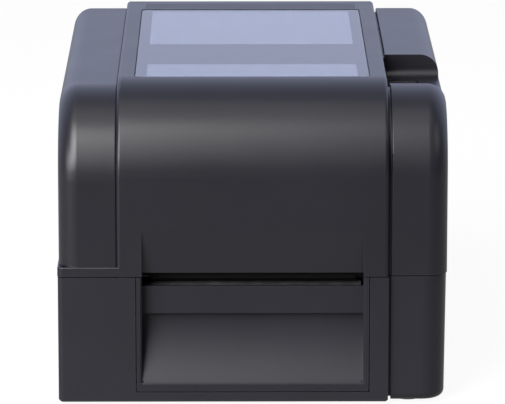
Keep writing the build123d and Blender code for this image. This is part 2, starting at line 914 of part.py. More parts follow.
with BuildPart() as window_mask:
    with BuildSketch(Plane.XY.offset(body_height - window_drop - window_thick - mask_thick)) as mask_plan:
        with Locations((0, (window_front + window_rear) / 2)):
            Rectangle(2 * window_half, window_rear - window_front)
        fillet(mask_plan.vertices(), window_corner)
        with Locations((0, (window_front + pane_margin_front + band_front) / 2)):
            Rectangle(2 * pane_half, band_front - window_front - pane_margin_front, mode=Mode.SUBTRACT)
        with Locations((0, (band_rear + pane_rear) / 2)):
            Rectangle(2 * pane_half, pane_rear - band_rear, mode=Mode.SUBTRACT)
    extrude(amount=mask_thick)
finish(window_mask, "window_mask")

# lower case: tray with walls, bezel opening, wall holes and hinge lugs
idler_y = platen_y + gear_module * (platen_teeth + idler_teeth) / 2 * math.cos(math.radians(idler_angle))
idler_z = platen_z - gear_module * (platen_teeth + idler_teeth) / 2 * math.sin(math.radians(idler_angle))
motor_y = idler_y + gear_module * (idler_teeth + pinion_teeth) / 2 * math.cos(math.radians(motor_angle))
motor_z = idler_z - gear_module * (idler_teeth + pinion_teeth) / 2 * math.sin(math.radians(motor_angle))
foot_places = [
    (side * (half_width - foot_inset_x), end * (rear_y - foot_inset_y)) for side in (-1, 1) for end in (-1, 1)
]
bay_front = deck_rear
side_plate_outer = side_plate_inner + bush_length
bay_half = side_plate_outer
post_places = [
    (side * (bay_half - chassis_post_inset), y)
    for side in (-1, 1)
    for y in (bay_front + chassis_post_inset, bay_rear - chassis_post_inset)
]


motor_screw_places = [
    (motor_y + y_side * motor_hole_spacing / 2, motor_z + z_side * motor_hole_spacing / 2)
    for y_side in (-1, 1)
    for z_side in (-1, 1)
]
board_post_places = [
    (x, y)
    for x in (board_left + board_post_inset, board_right - board_post_inset)
    for y in (board_front + board_post_inset, board_rear - board_post_inset - port_depth)
]
side_boss_places = [
    (side_boss_front_y, side_boss_front_z),
    (side_boss_mid_y, side_boss_mid_z),
    (side_boss_rear_y, side_boss_rear_z),
]


def hinge_clearance(x_low, x_high):
    # room for the lid's barrel and for its rear wall when it swings down behind
    rod_x(hinge_y, hinge_z, hinge_barrel_radius + hinge_relief, x_low, x_high, Mode.SUBTRACT)
    block(
        x_low, x_high, hinge_y, rear_y + cut_over,
        seam_height - rear_wall_drop, seam_height + cut_over, Mode.SUBTRACT
    )


def port_hole(x, half, height):
    # an opening in the rear wall round one of the board's sockets
    block(
        x - half - port_cut_gap, x + half + port_cut_gap, rear_y - wall - cut_over, rear_y + cut_over,
        board_top - port_cut_gap, board_top + height + port_cut_gap, Mode.SUBTRACT
    )


with BuildPart() as base_case:
    with BuildSketch(Plane.XY.offset(case_low)) as base_plan:
        with Locations(((right_wall_outer - column_outer) / 2, 0)):
            Rectangle(column_outer + right_wall_outer, body_depth)
        fillet(base_plan.vertices().group_by(Axis.X)[0].sort_by(Axis.Y)[0], column_corner)
        fillet(base_plan.vertices().group_by(Axis.X)[0].sort_by(Axis.Y)[-1], rear_corner)
    extrude(amount=case_top - case_low)
    chamfer(base_case.faces().sort_by(Axis.Z)[0].edges(), case_bottom_chamfer)
    with BuildSketch(Plane.XY.offset(floor_top)) as base_inside:
        with Locations(((right_wall_inner - column_outer + wall) / 2, 0)):
            Rectangle(column_outer - wall + right_wall_inner, body_depth - 2 * wall)
        fillet(base_inside.vertices().group_by(Axis.X)[0].sort_by(Axis.Y)[-1], rear_corner - wall)
    extrude(amount=body_height, mode=Mode.SUBTRACT)
    # opening for the bezel, with a rib on each side of it
    block(
        -bezel_half - bezel_gap, bezel_half + bezel_gap, front_y - cut_over, front_y + wall + cut_over,
        bezel_low - bezel_gap, seam_height + cut_over, Mode.SUBTRACT
    )
    for side in (-1, 1):
        rib_a = side * (bezel_half + bezel_gap)
        rib_b = side * (bezel_half + bezel_gap + bezel_rib_thick)
        block(
            min(rib_a, rib_b), max(rib_a, rib_b), front_y + wall, front_y + bezel_rim_depth,
            floor_top, lip_top
        )
    # holes in the right wall for the platen shaft, the idler pin and the motor's boss
    for y, z, radius in (
        (platen_y, platen_z, shaft_radius + part_gap),
        (idler_y, idler_z, idler_pin_radius + bearing_gap),
        (motor_y, motor_z, motor_boss_radius + side_gap),
    ):
        rod_x(y, z, radius, right_wall_inner - cut_over, right_wall_outer + cut_over, Mode.SUBTRACT)
    for y, z in side_boss_places + motor_screw_places:
        rod_x(
            y, z, screw_radius + screw_clearance,
            right_wall_inner - cut_over, right_wall_outer + cut_over, Mode.SUBTRACT
        )
    # openings in the rear wall
    port_hole(inlet_x, inlet_half, inlet_height)
    port_hole(usb_x, usb_half, usb_height)
    port_hole(network_x, network_half, network_height)
    port_hole(serial_x, serial_half, serial_height)
    block(
        switch_x - rocker_half_x - switch_wall, switch_x + rocker_half_x + switch_wall,
        rear_y - wall - cut_over, rear_y + cut_over,
        switch_z - rocker_half_z - switch_wall, switch_z + rocker_half_z + switch_wall, Mode.SUBTRACT
    )
    block(
        -fanfold_half, fanfold_half, rear_y - wall - cut_over, rear_y + cut_over,
        fanfold_low, fanfold_high, Mode.SUBTRACT
    )
    # posts for the board, and screw holes up into the chassis posts
    for x, y in board_post_places:
        rod_z(x, y, board_post_radius, floor_top, board_low)
        rod_z(
            x, y, screw_radius + bearing_gap,
            board_low - board_screw_length, board_low + cut_over, Mode.SUBTRACT
        )
    for x, y in post_places:
        rod_z(x, y, screw_radius + screw_clearance, case_low - cut_over, floor_top + cut_over, Mode.SUBTRACT)
        rod_z(
            x, y, screw_head_radius + screw_clearance,
            case_low - cut_over, case_low + wall / 2, Mode.SUBTRACT
        )
    for x, y in foot_places[:2]:
        rod_z(x, y, foot_radius + side_gap, case_low - cut_over, case_low + foot_recess, Mode.SUBTRACT)
    hinge_clearance(-half_width - cut_over, band_half + cut_over)
    for side in (-1, 1):
        lug_a = side * lug_inner
        lug_b = side * (lug_inner + lug_width)
        lug_low_x = min(lug_a, lug_b)
        lug_high_x = max(lug_a, lug_b)
        rod_x(hinge_y, hinge_z, lug_radius, lug_low_x, lug_high_x)
        plate_x(
            [
                (hinge_y - lug_radius, hinge_z),
                (hinge_y + lug_radius, hinge_z),
                (rear_y - wall / 2, hinge_z - lug_radius - wall),
                (rear_y - wall / 2, hinge_z - lug_root),
            ],
            lug_low_x, lug_high_x
        )
        rod_x(
            hinge_y, hinge_z, hinge_pin_radius + bearing_gap / 2,
            lug_low_x - cut_over, lug_high_x + cut_over, Mode.SUBTRACT
        )
finish(base_case, "base_case")

# right side cover, drafted inwards to the bottom
with BuildPart() as right_side_cover:
    with BuildSketch(Plane.XZ.offset(-rear_y)) as cover_view:
        with BuildLine():
            Polyline(
                (pillar_left, case_low), (half_width - pillar_side_inset_low, case_low),
                (half_width - pillar_side_inset_top, case_top), (pillar_left, case_top), close=True
            )
        make_face()
    extrude(amount=rear_y - pillar_front)
    drafted_face = right_side_cover.faces().sort_by(Axis.X)[-1]
    fillet(drafted_face.edges().sort_by(Axis.Y)[0], pillar_corner)
    fillet(right_side_cover.faces().sort_by(Axis.X)[-1].edges().sort_by(Axis.Y)[-1], rear_corner)
    low_edges = right_side_cover.faces().sort_by(Axis.Z)[0].edges()
    fillet([edge for edge in low_edges if edge.center().X > pillar_left + wall], pillar_bottom_round)
    open_faces = [right_side_cover.faces().sort_by(Axis.X)[0], right_side_cover.faces().sort_by(Axis.Z)[-1]]
    offset(amount=-wall, openings=open_faces)
    plate_x(
        [
            (pillar_front + groove_depth, case_top),
            (pillar_front + groove_depth, case_low + groove_depth),
            (rear_y - groove_depth, case_low + groove_depth),
            (rear_y - groove_depth, case_top),
        ],
        right_wall_outer, pillar_left + wall
    )
    plate_x(
        [
            (pillar_front + groove_depth + wall, seam_height + cut_over),
            (pillar_front + groove_depth + wall, case_low + groove_depth + wall),
            (rear_y - groove_depth - wall, case_low + groove_depth + wall),
            (rear_y - groove_depth - wall, seam_height + cut_over),
        ],
        right_wall_outer - cut_over, pillar_left + wall + cut_over, Mode.SUBTRACT
    )
    for y, z in side_boss_places:
        rod_x(y, z, side_boss_radius, right_wall_outer, half_width - pillar_side_inset_low - wall / 2)
        rod_x(
            y, z, screw_radius + bearing_gap,
            right_wall_outer - cut_over, right_wall_outer + side_screw_length, Mode.SUBTRACT
        )
    for x, y in foot_places[2:]:
        rod_z(x, y, foot_radius + wall, case_low, case_low + foot_recess + wall)
        rod_z(x, y, foot_radius + side_gap, case_low - cut_over, case_low + foot_recess, Mode.SUBTRACT)
    hinge_clearance(band_half - cut_over, half_width + cut_over)
finish(right_side_cover, "right_side_cover")

# four round feet, pressed up into their recesses
with BuildPart() as rubber_feet:
    for x, y in foot_places:
        rod_z(x, y, foot_radius, 0, case_low + foot_recess)
    fillet(rubber_feet.faces().group_by(Axis.Z)[0].edges(), foot_round)
finish(rubber_feet, "rubber_feet")

# front bezel: rims, exit lip and the concave scoop
lip_y = front_y + lip_depth
scoop_y = front_y + scoop_depth
rim_y = front_y + rim_round
scoop_top_z = lip_low - lip_step
scoop_drop = scoop_top_z - rim_top
scoop_reach = scoop_y - rim_y
scoop_arc = (scoop_reach ** 2 + scoop_drop ** 2) / (2 * scoop_reach)
half_turn = math.asin(scoop_drop / scoop_arc) / 2
arc_mid = (
    scoop_y - scoop_arc * (1 - math.cos(half_turn)),
    scoop_top_z - scoop_arc * math.sin(half_turn),
)
with BuildPart() as front_bezel:
    with BuildSketch(Plane.YZ.offset(-scoop_half)) as scoop_view:
        with BuildLine():
            Line((front_y, bezel_low), (front_y, rim_top - rim_round))
            Line((front_y, rim_top - rim_round), (rim_y, rim_top))
            ThreePointArc((rim_y, rim_top), arc_mid, (scoop_y, scoop_top_z))
            Line((scoop_y, scoop_top_z), (lip_y + lip_lean, lip_low))
            Line((lip_y + lip_lean, lip_low), (lip_y, lip_top))
            Line((lip_y, lip_top), (lip_y + wall, lip_top))
            Line((lip_y + wall, lip_top), (lip_y + wall + lip_lean, lip_low + lip_step))
            Line((lip_y + wall + lip_lean, lip_low + lip_step), (scoop_y + wall, scoop_top_z))
            ThreePointArc(
                (scoop_y + wall, scoop_top_z), (arc_mid[0] + wall, arc_mid[1]), (rim_y + wall, rim_top)
            )
            Line((rim_y + wall, rim_top), (rim_y + wall, bezel_low))
            Line((rim_y + wall, bezel_low), (front_y, bezel_low))
        make_face()
    extrude(amount=2 * scoop_half)
    for side in (-1, 1):
        rim_a = side * scoop_half
        rim_b = side * bezel_half
        block(
            min(rim_a, rim_b), max(rim_a, rim_b), front_y, front_y + bezel_rim_depth,
            bezel_low, case_top
        )
        with BuildSketch(Plane.XY.offset(rim_top)) as bevel:
            with BuildLine():
                Polyline(
                    (side * (scoop_half - cut_over), front_y - cut_over),
                    (side * (scoop_half + bezel_rim_bevel + cut_over), front_y - cut_over),
                    (side * (scoop_half - cut_over), front_y + bezel_rim_bevel + cut_over), close=True
                )
            make_face()
        extrude(bevel.sketch, amount=seam_height, mode=Mode.SUBTRACT)
finish(front_bezel, "front_bezel")

# tear bar with its row of teeth, behind the exit lip
with BuildPart() as tear_bar:
    with BuildSketch(Plane.XZ.offset(-(lip_y + wall + lip_lean + part_gap + tear_bar_thick))) as tear_view:
        with BuildLine():
            teeth_line = [(-tear_bar_half, tear_bar_low), (-tear_bar_half, tear_bar_top)]
            for tooth in range(int(2 * tear_bar_half / tooth_pitch)):
                left_x = -tear_bar_half + tooth * tooth_pitch
                teeth_line.append((left_x + tooth_pitch / 2, tear_bar_top + tooth_height))
                teeth_line.append((left_x + tooth_pitch, tear_bar_top))
            teeth_line.append((tear_bar_half, tear_bar_low))
            Polyline(*teeth_line, close=True)
        make_face()
    extrude(amount=tear_bar_thick)
finish(tear_bar, "tear_bar")


def turned(points, centre, angle_deg):
    # outline points turned about the origin and moved to a centre
    turn = math.radians(angle_deg)
    return [
        (
            centre[0] + x * math.cos(turn) - y * math.sin(turn),
            centre[1] + x * math.sin(turn) + y * math.cos(turn),
        )
        for x, y in points
    ]


def gear_outline(module, teeth, centre, tooth_angle):
    # an involute gear's outline with one tooth's centre at tooth_angle, in degrees
    pressure = math.radians(pressure_angle)
    pitch_radius = module * teeth / 2
    base_radius = pitch_radius * math.cos(pressure)
    tip_radius = pitch_radius + addendum_share * module
    root_radius = pitch_radius - dedendum_share * module
    flank_start = max(root_radius, base_radius)
    half_pitch_angle = (math.pi * module / 2 - backlash) / (2 * pitch_radius)
    flank = []
    for step in range(flank_steps + 1):
        radius = flank_start + (tip_radius - flank_start) * step / flank_steps
        roll = math.acos(min(1, base_radius / radius))
        half_angle = half_pitch_angle + math.tan(pressure) - pressure - math.tan(roll) + roll
        flank.append((radius, half_angle))
    root_half = flank[0][1]
    points = []
    for tooth in range(teeth):
        middle = 2 * math.pi * tooth / teeth
        edge = [(root_radius, middle - root_half)]
        edge += [(radius, middle - half) for radius, half in flank]
        edge += [(radius, middle + half) for radius, half in reversed(flank)]
        edge.append((root_radius, middle + root_half))
        if root_radius >= base_radius:
            edge = edge[1:-1]
        points += [(radius * math.cos(angle), radius * math.sin(angle)) for radius, angle in edge]
    return turned(points, centre, tooth_angle)


def meshed_angle(tooth_angle, teeth, line_angle, next_teeth):
    # the tooth angle of a gear that meshes with another along a line between centres
    ahead = tooth_angle - line_angle
    return line_angle + 180 - ahead * teeth / next_teeth + 180 / next_teeth


# platen: steel shaft, rubber sleeve, bushes and end gear
gear_high_x = gear_low_x + gear_width
with BuildPart() as platen_shaft:
    shaft_low = -side_plate_inner - bush_length - bush_flange_thick - part_gap
    rod_x(platen_y, platen_z, shaft_radius, shaft_low, gear_high_x + wall)
finish(platen_shaft, "platen_shaft")

with BuildPart() as platen_sleeve:
    rod_x(platen_y, platen_z, platen_radius, -platen_half, platen_half)
    rod_x(platen_y, platen_z, shaft_radius, -platen_half - cut_over, platen_half + cut_over, Mode.SUBTRACT)
finish(platen_sleeve, "platen_sleeve")

with BuildPart() as platen_bushes:
    for side in (-1, 1):
        inner = side * (side_plate_inner - side_gap)
        outer = side * (side_plate_inner + bush_length)
        flange = side * (side_plate_inner - side_gap - bush_flange_thick)
        rod_x(platen_y, platen_z, bush_radius, min(inner, outer), max(inner, outer))
        rod_x(platen_y, platen_z, bush_flange, min(inner, flange), max(inner, flange))
    rod_x(
        platen_y, platen_z, shaft_radius + bearing_gap,
        -right_wall_outer, right_wall_outer, Mode.SUBTRACT
    )
finish(platen_bushes, "platen_bushes")

platen_tooth_angle = -idler_angle
idler_tooth_angle = meshed_angle(platen_tooth_angle, platen_teeth, -idler_angle, idler_teeth)
pinion_tooth_angle = meshed_angle(idler_tooth_angle, idler_teeth, -motor_angle, pinion_teeth)
with BuildPart() as platen_gear:
    plate_x(
        gear_outline(gear_module, platen_teeth, (platen_y, platen_z), platen_tooth_angle),
        gear_low_x, gear_high_x
    )
    rod_x(platen_y, platen_z, shaft_radius, gear_low_x - cut_over, gear_high_x + cut_over, Mode.SUBTRACT)
finish(platen_gear, "platen_gear")

# idler gear on its headed pin
with BuildPart() as idler_gear:
    plate_x(
        gear_outline(gear_module, idler_teeth, (idler_y, idler_z), idler_tooth_angle),
        gear_low_x, gear_high_x
    )
    rod_x(idler_y, idler_z, idler_hub_radius, right_wall_outer + part_gap, gear_low_x)
    rod_x(
        idler_y, idler_z, idler_pin_radius + bearing_gap,
        right_wall_outer, gear_high_x + cut_over, Mode.SUBTRACT
    )
finish(idler_gear, "idler_gear")

with BuildPart() as idler_pin:
    rod_x(idler_y, idler_z, idler_pin_radius, right_wall_inner, gear_high_x + part_gap)
    rod_x(
        idler_y, idler_z, idler_pin_head,
        gear_high_x + part_gap, gear_high_x + part_gap + idler_pin_head_thick
    )
    rod_x(
        idler_y, idler_z, idler_pin_head, right_wall_inner - idler_pin_head_thick, right_wall_inner
    )
finish(idler_pin, "idler_pin")

# stepper motor behind the right wall, its shaft through to the pinion
with BuildPart() as stepper_motor:
    with BuildSketch(Plane.YZ.offset(right_wall_inner - motor_length)):
        with Locations((motor_y, motor_z)):
            Rectangle(motor_size, motor_size)
    extrude(amount=motor_length)
    chamfer(stepper_motor.edges().filter_by(Axis.X), motor_corner)
    rod_x(motor_y, motor_z, motor_boss_radius, right_wall_inner, right_wall_inner + motor_boss_thick)
    for y, z in motor_screw_places:
        rod_x(
            y, z, screw_radius + bearing_gap,
            right_wall_inner - motor_screw_length, right_wall_inner + cut_over, Mode.SUBTRACT
        )
finish(stepper_motor, "stepper_motor")

with BuildPart() as motor_pinion:
    plate_x(
        gear_outline(gear_module, pinion_teeth, (motor_y, motor_z), pinion_tooth_angle),
        gear_low_x - wall / 2, gear_high_x + wall / 2
    )
    rod_x(
        motor_y, motor_z, motor_shaft_radius,
        right_wall_inner + motor_boss_thick + part_gap, gear_high_x + wall
    )
finish(motor_pinion, "motor_pinion")

# media chassis: deck, platen side plates, roll bay and its posts
rack_root = rack_module * rack_pinion_teeth / 2 + rack_module * dedendum_share
rib_inner = rack_root + rack_bar + rib_gap
with BuildPart() as media_chassis:
    block(-bay_half, bay_half, deck_front, deck_rear + wall, deck_top - wall, deck_top)
    block(-bay_half, bay_half, bay_front, bay_rear, bay_floor_top - wall, bay_wall_top)
    block(
        -bay_half + wall, bay_half - wall, bay_front + wall, bay_rear - wall,
        bay_floor_top, bay_wall_top + cut_over, Mode.SUBTRACT
    )
    block(
        -bay_half + wall, bay_half - wall, bay_front - cut_over, bay_front + wall + cut_over,
        deck_top, bay_wall_top + cut_over, Mode.SUBTRACT
    )
    block(
        -fanfold_half, fanfold_half, bay_rear - wall - cut_over, bay_rear + cut_over,
        label_mouth_low, label_mouth_high, Mode.SUBTRACT
    )
    for side in (-1, 1):
        plate_a = side * side_plate_inner
        plate_b = side * side_plate_outer
        block(
            min(plate_a, plate_b), max(plate_a, plate_b), side_plate_front, deck_front + wall,
            floor_top, side_plate_top
        )
        rib_a = holder_y + side * rib_inner
        rib_b = holder_y + side * (rib_inner + rib_width)
        block(-bay_half + wall, bay_half - wall, min(rib_a, rib_b), max(rib_a, rib_b), bay_floor_top, rib_top)
    rod_x(platen_y, platen_z, bush_radius, -bay_half - cut_over, bay_half + cut_over, Mode.SUBTRACT)
    block(
        -bay_half - cut_over, bay_half + cut_over, platen_y - bush_radius, platen_y + bush_radius,
        platen_z, side_plate_top + cut_over, Mode.SUBTRACT
    )
    block(
        -sensor_slot_half_x, sensor_slot_half_x, sensor_y - sensor_slot_half_y, sensor_y + sensor_slot_half_y,
        deck_top - wall - cut_over, deck_top + cut_over, Mode.SUBTRACT
    )
    for x, y in post_places:
        rod_z(x, y, chassis_post_radius, floor_top, bay_floor_top - wall)
        rod_z(
            x, y, screw_radius + bearing_gap,
            floor_top - cut_over, floor_top + case_screw_length, Mode.SUBTRACT
        )
finish(media_chassis, "media_chassis")

# roll holders: rack arm, foot, upright and hub; the left one is the right one turned round
rack_pitch = math.pi * rack_module
pitch_y = holder_y - rack_module * rack_pinion_teeth / 2
rack_slope = math.tan(math.radians(pressure_angle))
tooth_half = (rack_pitch / 2 - backlash) / 2
tip_y = pitch_y + rack_module * rack_addendum_share
root_y = pitch_y - rack_module * dedendum_share
with BuildPart() as right_holder:
    with BuildSketch(Plane.XY.offset(rack_low)) as rack_view:
        with BuildLine():
            outline = [
                (foot_outer, root_y), (foot_outer, root_y - rack_bar),
                (-rack_end_inner, root_y - rack_bar), (-rack_end_inner, root_y),
            ]
            first_tooth = math.ceil(-rack_end_inner / rack_pitch)
            last_tooth = math.floor(foot_inner / rack_pitch) - 1
            for tooth in range(first_tooth, last_tooth):
                middle = (tooth + 1 / 2) * rack_pitch
                root_half = tooth_half + (pitch_y - root_y) * rack_slope
                tip_half = tooth_half - (tip_y - pitch_y) * rack_slope
                outline.append((middle - root_half, root_y))
                outline.append((middle - tip_half, tip_y))
                outline.append((middle + tip_half, tip_y))
                outline.append((middle + root_half, root_y))
            Polyline(*outline, close=True)
        make_face()
    extrude(amount=rack_top - rack_low)
    block(foot_inner, foot_outer, root_y - rack_bar, root_y, rack_top, foot_slab_low)
    block(
        foot_inner, foot_outer, holder_y - foot_half_y, holder_y + foot_half_y,
        foot_slab_low, foot_slab_top
    )
    with BuildSketch(Plane.YZ.offset(holder_face)) as upright_view:
        with BuildLine():
            Polyline(
                (holder_y - holder_half_y, foot_slab_top), (holder_y + holder_half_y, foot_slab_top),
                (holder_y + holder_head_radius, roll_axis_z), (holder_y - holder_head_radius, roll_axis_z),
                close=True
            )
        make_face()
        with Locations((holder_y, roll_axis_z)):
            Circle(holder_head_radius)
    extrude(amount=holder_thick)
    with BuildSketch(Plane.YZ.offset(holder_face - hub_length)):
        with Locations((holder_y, roll_axis_z)):
            Circle(hub_radius)
            Circle(hub_radius - wall, mode=Mode.SUBTRACT)
    extrude(amount=hub_length)
    hub_end_x = holder_face - hub_length
    hub_end = right_holder.faces().filter_by(lambda face: abs(face.center().X - hub_end_x) < side_gap)
    chamfer(hub_end.edges().sort_by(SortBy.RADIUS)[-1], hub_chamfer)
finish(right_holder, "right_holder")

with BuildPart() as left_holder:
    add(right_holder.part.rotate(Axis((0, holder_y, 0), (0, 0, 1)), 180))
finish(left_holder, "left_holder")

with BuildPart() as holder_pinion:
    with BuildSketch(Plane.XY.offset(rack_low)):
        with BuildLine():
            Polyline(*gear_outline(rack_module, rack_pinion_teeth, (0, holder_y), -90), close=True)
        make_face()
        with Locations((0, holder_y)):
            Circle(pinion_pin_radius + bearing_gap, mode=Mode.SUBTRACT)
    extrude(amount=rack_top - rack_low)
finish(holder_pinion, "holder_pinion")

with BuildPart() as holder_pinion_pin:
    rod_z(0, holder_y, pinion_pin_radius, bay_floor_top, rack_top + part_gap)
    rod_z(0, holder_y, pinion_pin_head, rack_top + part_gap, foot_slab_top)
finish(holder_pinion_pin, "holder_pinion_pin")

# gap sensor, riding in the deck's slot
with BuildPart() as gap_sensor:
    block(
        -sensor_half_x, sensor_half_x, sensor_y - sensor_half_y, sensor_y + sensor_half_y,
        deck_top + part_gap, deck_top + part_gap + sensor_height
    )
    chamfer(gap_sensor.faces().sort_by(Axis.Z)[-1].edges(), sensor_height / 3)
    block(
        -sensor_half_x, sensor_half_x,
        sensor_y - sensor_slot_half_y + part_gap, sensor_y + sensor_slot_half_y - part_gap,
        deck_top - wall - part_gap, deck_top + part_gap
    )
    block(
        -sensor_half_x, sensor_half_x, sensor_y - sensor_foot_half_y, sensor_y + sensor_foot_half_y,
        deck_top - wall - part_gap - sensor_foot_thick, deck_top - wall - part_gap
    )
finish(gap_sensor, "gap_sensor")

# ribbon carriage: two side plates, the top beam with its bosses, and the spring bar
carriage_out = carriage_face + carriage_thick
carriage_sides = [
    (carriage_front_high_y, carriage_front_high_z),
    (carriage_beam_front, carriage_top),
    (carriage_beam_rear, carriage_top),
    (carriage_rear_high_y, carriage_waist_z),
    (carriage_rear_low_y, carriage_low + head_ear_half),
    (bracket_rear, carriage_low),
    (head_rear, carriage_low),
    (carriage_front_low_y, spring_bar_low),
    (carriage_front_low_y, carriage_waist_z),
]
ribbon_distance = ribbon_module * (rewind_teeth + ribbon_pinion_teeth) / 2
drive_turn = math.radians(ribbon_drive_angle)
ribbon_motor_y = rewind_y + ribbon_distance * math.cos(drive_turn)
ribbon_motor_z = rewind_z + ribbon_distance * math.sin(drive_turn)
motor_post_places = [
    (
        ribbon_motor_y - side * ribbon_post_offset * math.sin(drive_turn),
        ribbon_motor_z + side * ribbon_post_offset * math.cos(drive_turn),
    )
    for side in (-1, 1)
]
ribbon_motor_x = -carriage_out - ribbon_gear_width - 2 * ribbon_shaft_gap
ribbon_axes = ((supply_y, supply_z), (rewind_y, rewind_z))
with BuildPart() as ribbon_carriage:
    plate_x(carriage_sides, -carriage_out, -carriage_face)
    plate_x(carriage_sides, carriage_face, carriage_out)
    block(
        -carriage_out, carriage_out, carriage_beam_front, carriage_beam_rear,
        carriage_top - carriage_beam_thick, carriage_top
    )
    block(
        -carriage_out, carriage_out, spring_bar_front, spring_bar_rear,
        spring_bar_low, spring_bar_low + spring_bar_thick
    )
    for side in (-1, 1):
        for y in (carriage_beam_front + carriage_boss_radius, carriage_beam_rear - carriage_boss_radius):
            rod_z(side * carriage_boss_x, y, carriage_boss_radius, carriage_top, ledge_low)
    for y, z in ribbon_axes:
        rod_x(
            y, z, ribbon_stub_radius + bearing_gap, -carriage_out - cut_over, carriage_out + cut_over,
            Mode.SUBTRACT
        )
    rod_x(
        head_pivot_y, head_pivot_z, head_pivot_radius + bearing_gap / 2,
        -carriage_out - cut_over, carriage_out + cut_over, Mode.SUBTRACT
    )
    for y, z in motor_post_places:
        rod_x(y, z, ribbon_post_radius, ribbon_motor_x, -carriage_out)
finish(ribbon_carriage, "ribbon_carriage")


def ribbon_hub(side, y, z, shaft_end, cap):
    # a ribbon hub: finned core, flange, shaft through the side plate and a snap end
    with BuildPart() as hub:
        flange_out = carriage_face - ribbon_shaft_gap
        flange_in = flange_out - ribbon_flange_thick
        core_in = flange_in - ribbon_hub_length
        rod_x(y, z, ribbon_flange_radius, flange_in, flange_out)
        rod_x(y, z, ribbon_hub_radius, core_in, flange_in)
        chamfer(hub.faces().sort_by(Axis.X)[0].edges(), ribbon_fin_height)
        with BuildSketch(Plane.YZ.offset(core_in + ribbon_fin_height)):
            with Locations((y, z)):
                with PolarLocations(ribbon_hub_radius, ribbon_fins):
                    Rectangle(2 * ribbon_fin_height, ribbon_fin_width)
        extrude(amount=flange_in - core_in - ribbon_fin_height)
        rod_x(y, z, ribbon_stub_radius, flange_out, shaft_end)
        if cap:
            rod_x(
                y, z, ribbon_cap_radius,
                carriage_out + ribbon_shaft_gap, carriage_out + ribbon_shaft_gap + ribbon_cap_thick
            )
    placed = hub.part
    if side < 0:
        placed = hub.part.rotate(Axis((0, y, z), (0, 0, 1)), 180)
    with BuildPart() as hub_side:
        add(placed)
    return hub_side


snap_end = carriage_out + ribbon_shaft_gap + ribbon_cap_thick
gear_end = carriage_out + ribbon_shaft_gap + ribbon_gear_width
finish(ribbon_hub(-1, supply_y, supply_z, snap_end, True), "supply_hub_left")
finish(ribbon_hub(1, supply_y, supply_z, snap_end, True), "supply_hub_right")
finish(ribbon_hub(-1, rewind_y, rewind_z, gear_end, False), "rewind_hub_left")
finish(ribbon_hub(1, rewind_y, rewind_z, snap_end, True), "rewind_hub_right")

# ribbon drive: gear on the left rewind hub's shaft, pinion and small motor
rewind_tooth_angle = ribbon_drive_angle
ribbon_pinion_angle = meshed_angle(rewind_tooth_angle, rewind_teeth, ribbon_drive_angle, ribbon_pinion_teeth)
ribbon_gear_low = -gear_end
ribbon_gear_high = -carriage_out - ribbon_shaft_gap
with BuildPart() as rewind_gear:
    plate_x(
        gear_outline(ribbon_module, rewind_teeth, (rewind_y, rewind_z), rewind_tooth_angle),
        ribbon_gear_low, ribbon_gear_high
    )
    rod_x(
        rewind_y, rewind_z, ribbon_stub_radius,
        ribbon_gear_low - cut_over, ribbon_gear_high + cut_over, Mode.SUBTRACT
    )
finish(rewind_gear, "rewind_gear")

with BuildPart() as ribbon_pinion:
    pinion_centre = (ribbon_motor_y, ribbon_motor_z)
    plate_x(
        gear_outline(ribbon_module, ribbon_pinion_teeth, pinion_centre, ribbon_pinion_angle),
        ribbon_gear_low, ribbon_gear_high
    )
finish(ribbon_pinion, "ribbon_pinion")

with BuildPart() as ribbon_motor:
    rod_x(
        ribbon_motor_y, ribbon_motor_z, ribbon_motor_radius,
        ribbon_motor_x - ribbon_motor_length, ribbon_motor_x
    )
    fillet(ribbon_motor.faces().sort_by(Axis.X)[0].edges(), ribbon_shaft_radius)
    rod_x(
        ribbon_motor_y, ribbon_motor_z, ribbon_stub_radius,
        ribbon_motor_x - ribbon_motor_length - ribbon_shaft_radius, ribbon_motor_x
    )
finish(ribbon_motor, "ribbon_motor")

# thermal head under its bracket, which pivots on a rod
head_low = platen_z + platen_radius + head_gap
head_top = head_low + head_thick
bracket_top = head_top + bracket_thick
with BuildPart() as thermal_head:
    block(-head_half, head_half, head_front, head_rear, head_low, head_top)
    chamfer(thermal_head.faces().sort_by(Axis.Z)[0].edges().sort_by(Axis.Y)[0], head_thick / 2)
finish(thermal_head, "thermal_head")

with BuildPart() as head_bracket:
    block(-bracket_half, bracket_half, head_front, bracket_rear, head_top, bracket_top)
    for side in (-1, 1):
        ear_a = side * (bracket_half - bracket_thick)
        ear_b = side * bracket_half
        ear_low_x = min(ear_a, ear_b)
        ear_high_x = max(ear_a, ear_b)
        block(
            ear_low_x, ear_high_x, head_pivot_y - head_ear_half, head_pivot_y + head_ear_half,
            head_top, head_pivot_z
        )
        rod_x(head_pivot_y, head_pivot_z, head_ear_half, ear_low_x, ear_high_x)
    rod_x(
        head_pivot_y, head_pivot_z, head_pivot_radius + bearing_gap,
        -bracket_half - cut_over, bracket_half + cut_over, Mode.SUBTRACT
    )
finish(head_bracket, "head_bracket")

with BuildPart() as head_rod:
    rod_end = carriage_out + head_rod_head_thick
    rod_x(head_pivot_y, head_pivot_z, head_pivot_radius, -rod_end, rod_end)
    rod_x(head_pivot_y, head_pivot_z, head_rod_head, -rod_end, -carriage_out)
    rod_x(head_pivot_y, head_pivot_z, head_rod_head, carriage_out, rod_end)
finish(head_rod, "head_rod")


def coil(plane, radius, wire_radius, length, turns):
    # one unbroken round-wire coil standing on a plane
    run = length - 2 * wire_radius - 2 * spring_end_gap
    with BuildPart() as spring:
        with BuildLine(Plane.XY.offset(wire_radius + spring_end_gap)) as wire_line:
            Helix(pitch=run / turns, height=run, radius=radius)
        with BuildSketch(Plane(origin=wire_line.line @ 0, z_dir=wire_line.line % 0)):
            Circle(wire_radius)
        sweep(path=wire_line.line, is_frenet=True)
    return spring.part.moved(plane.location)


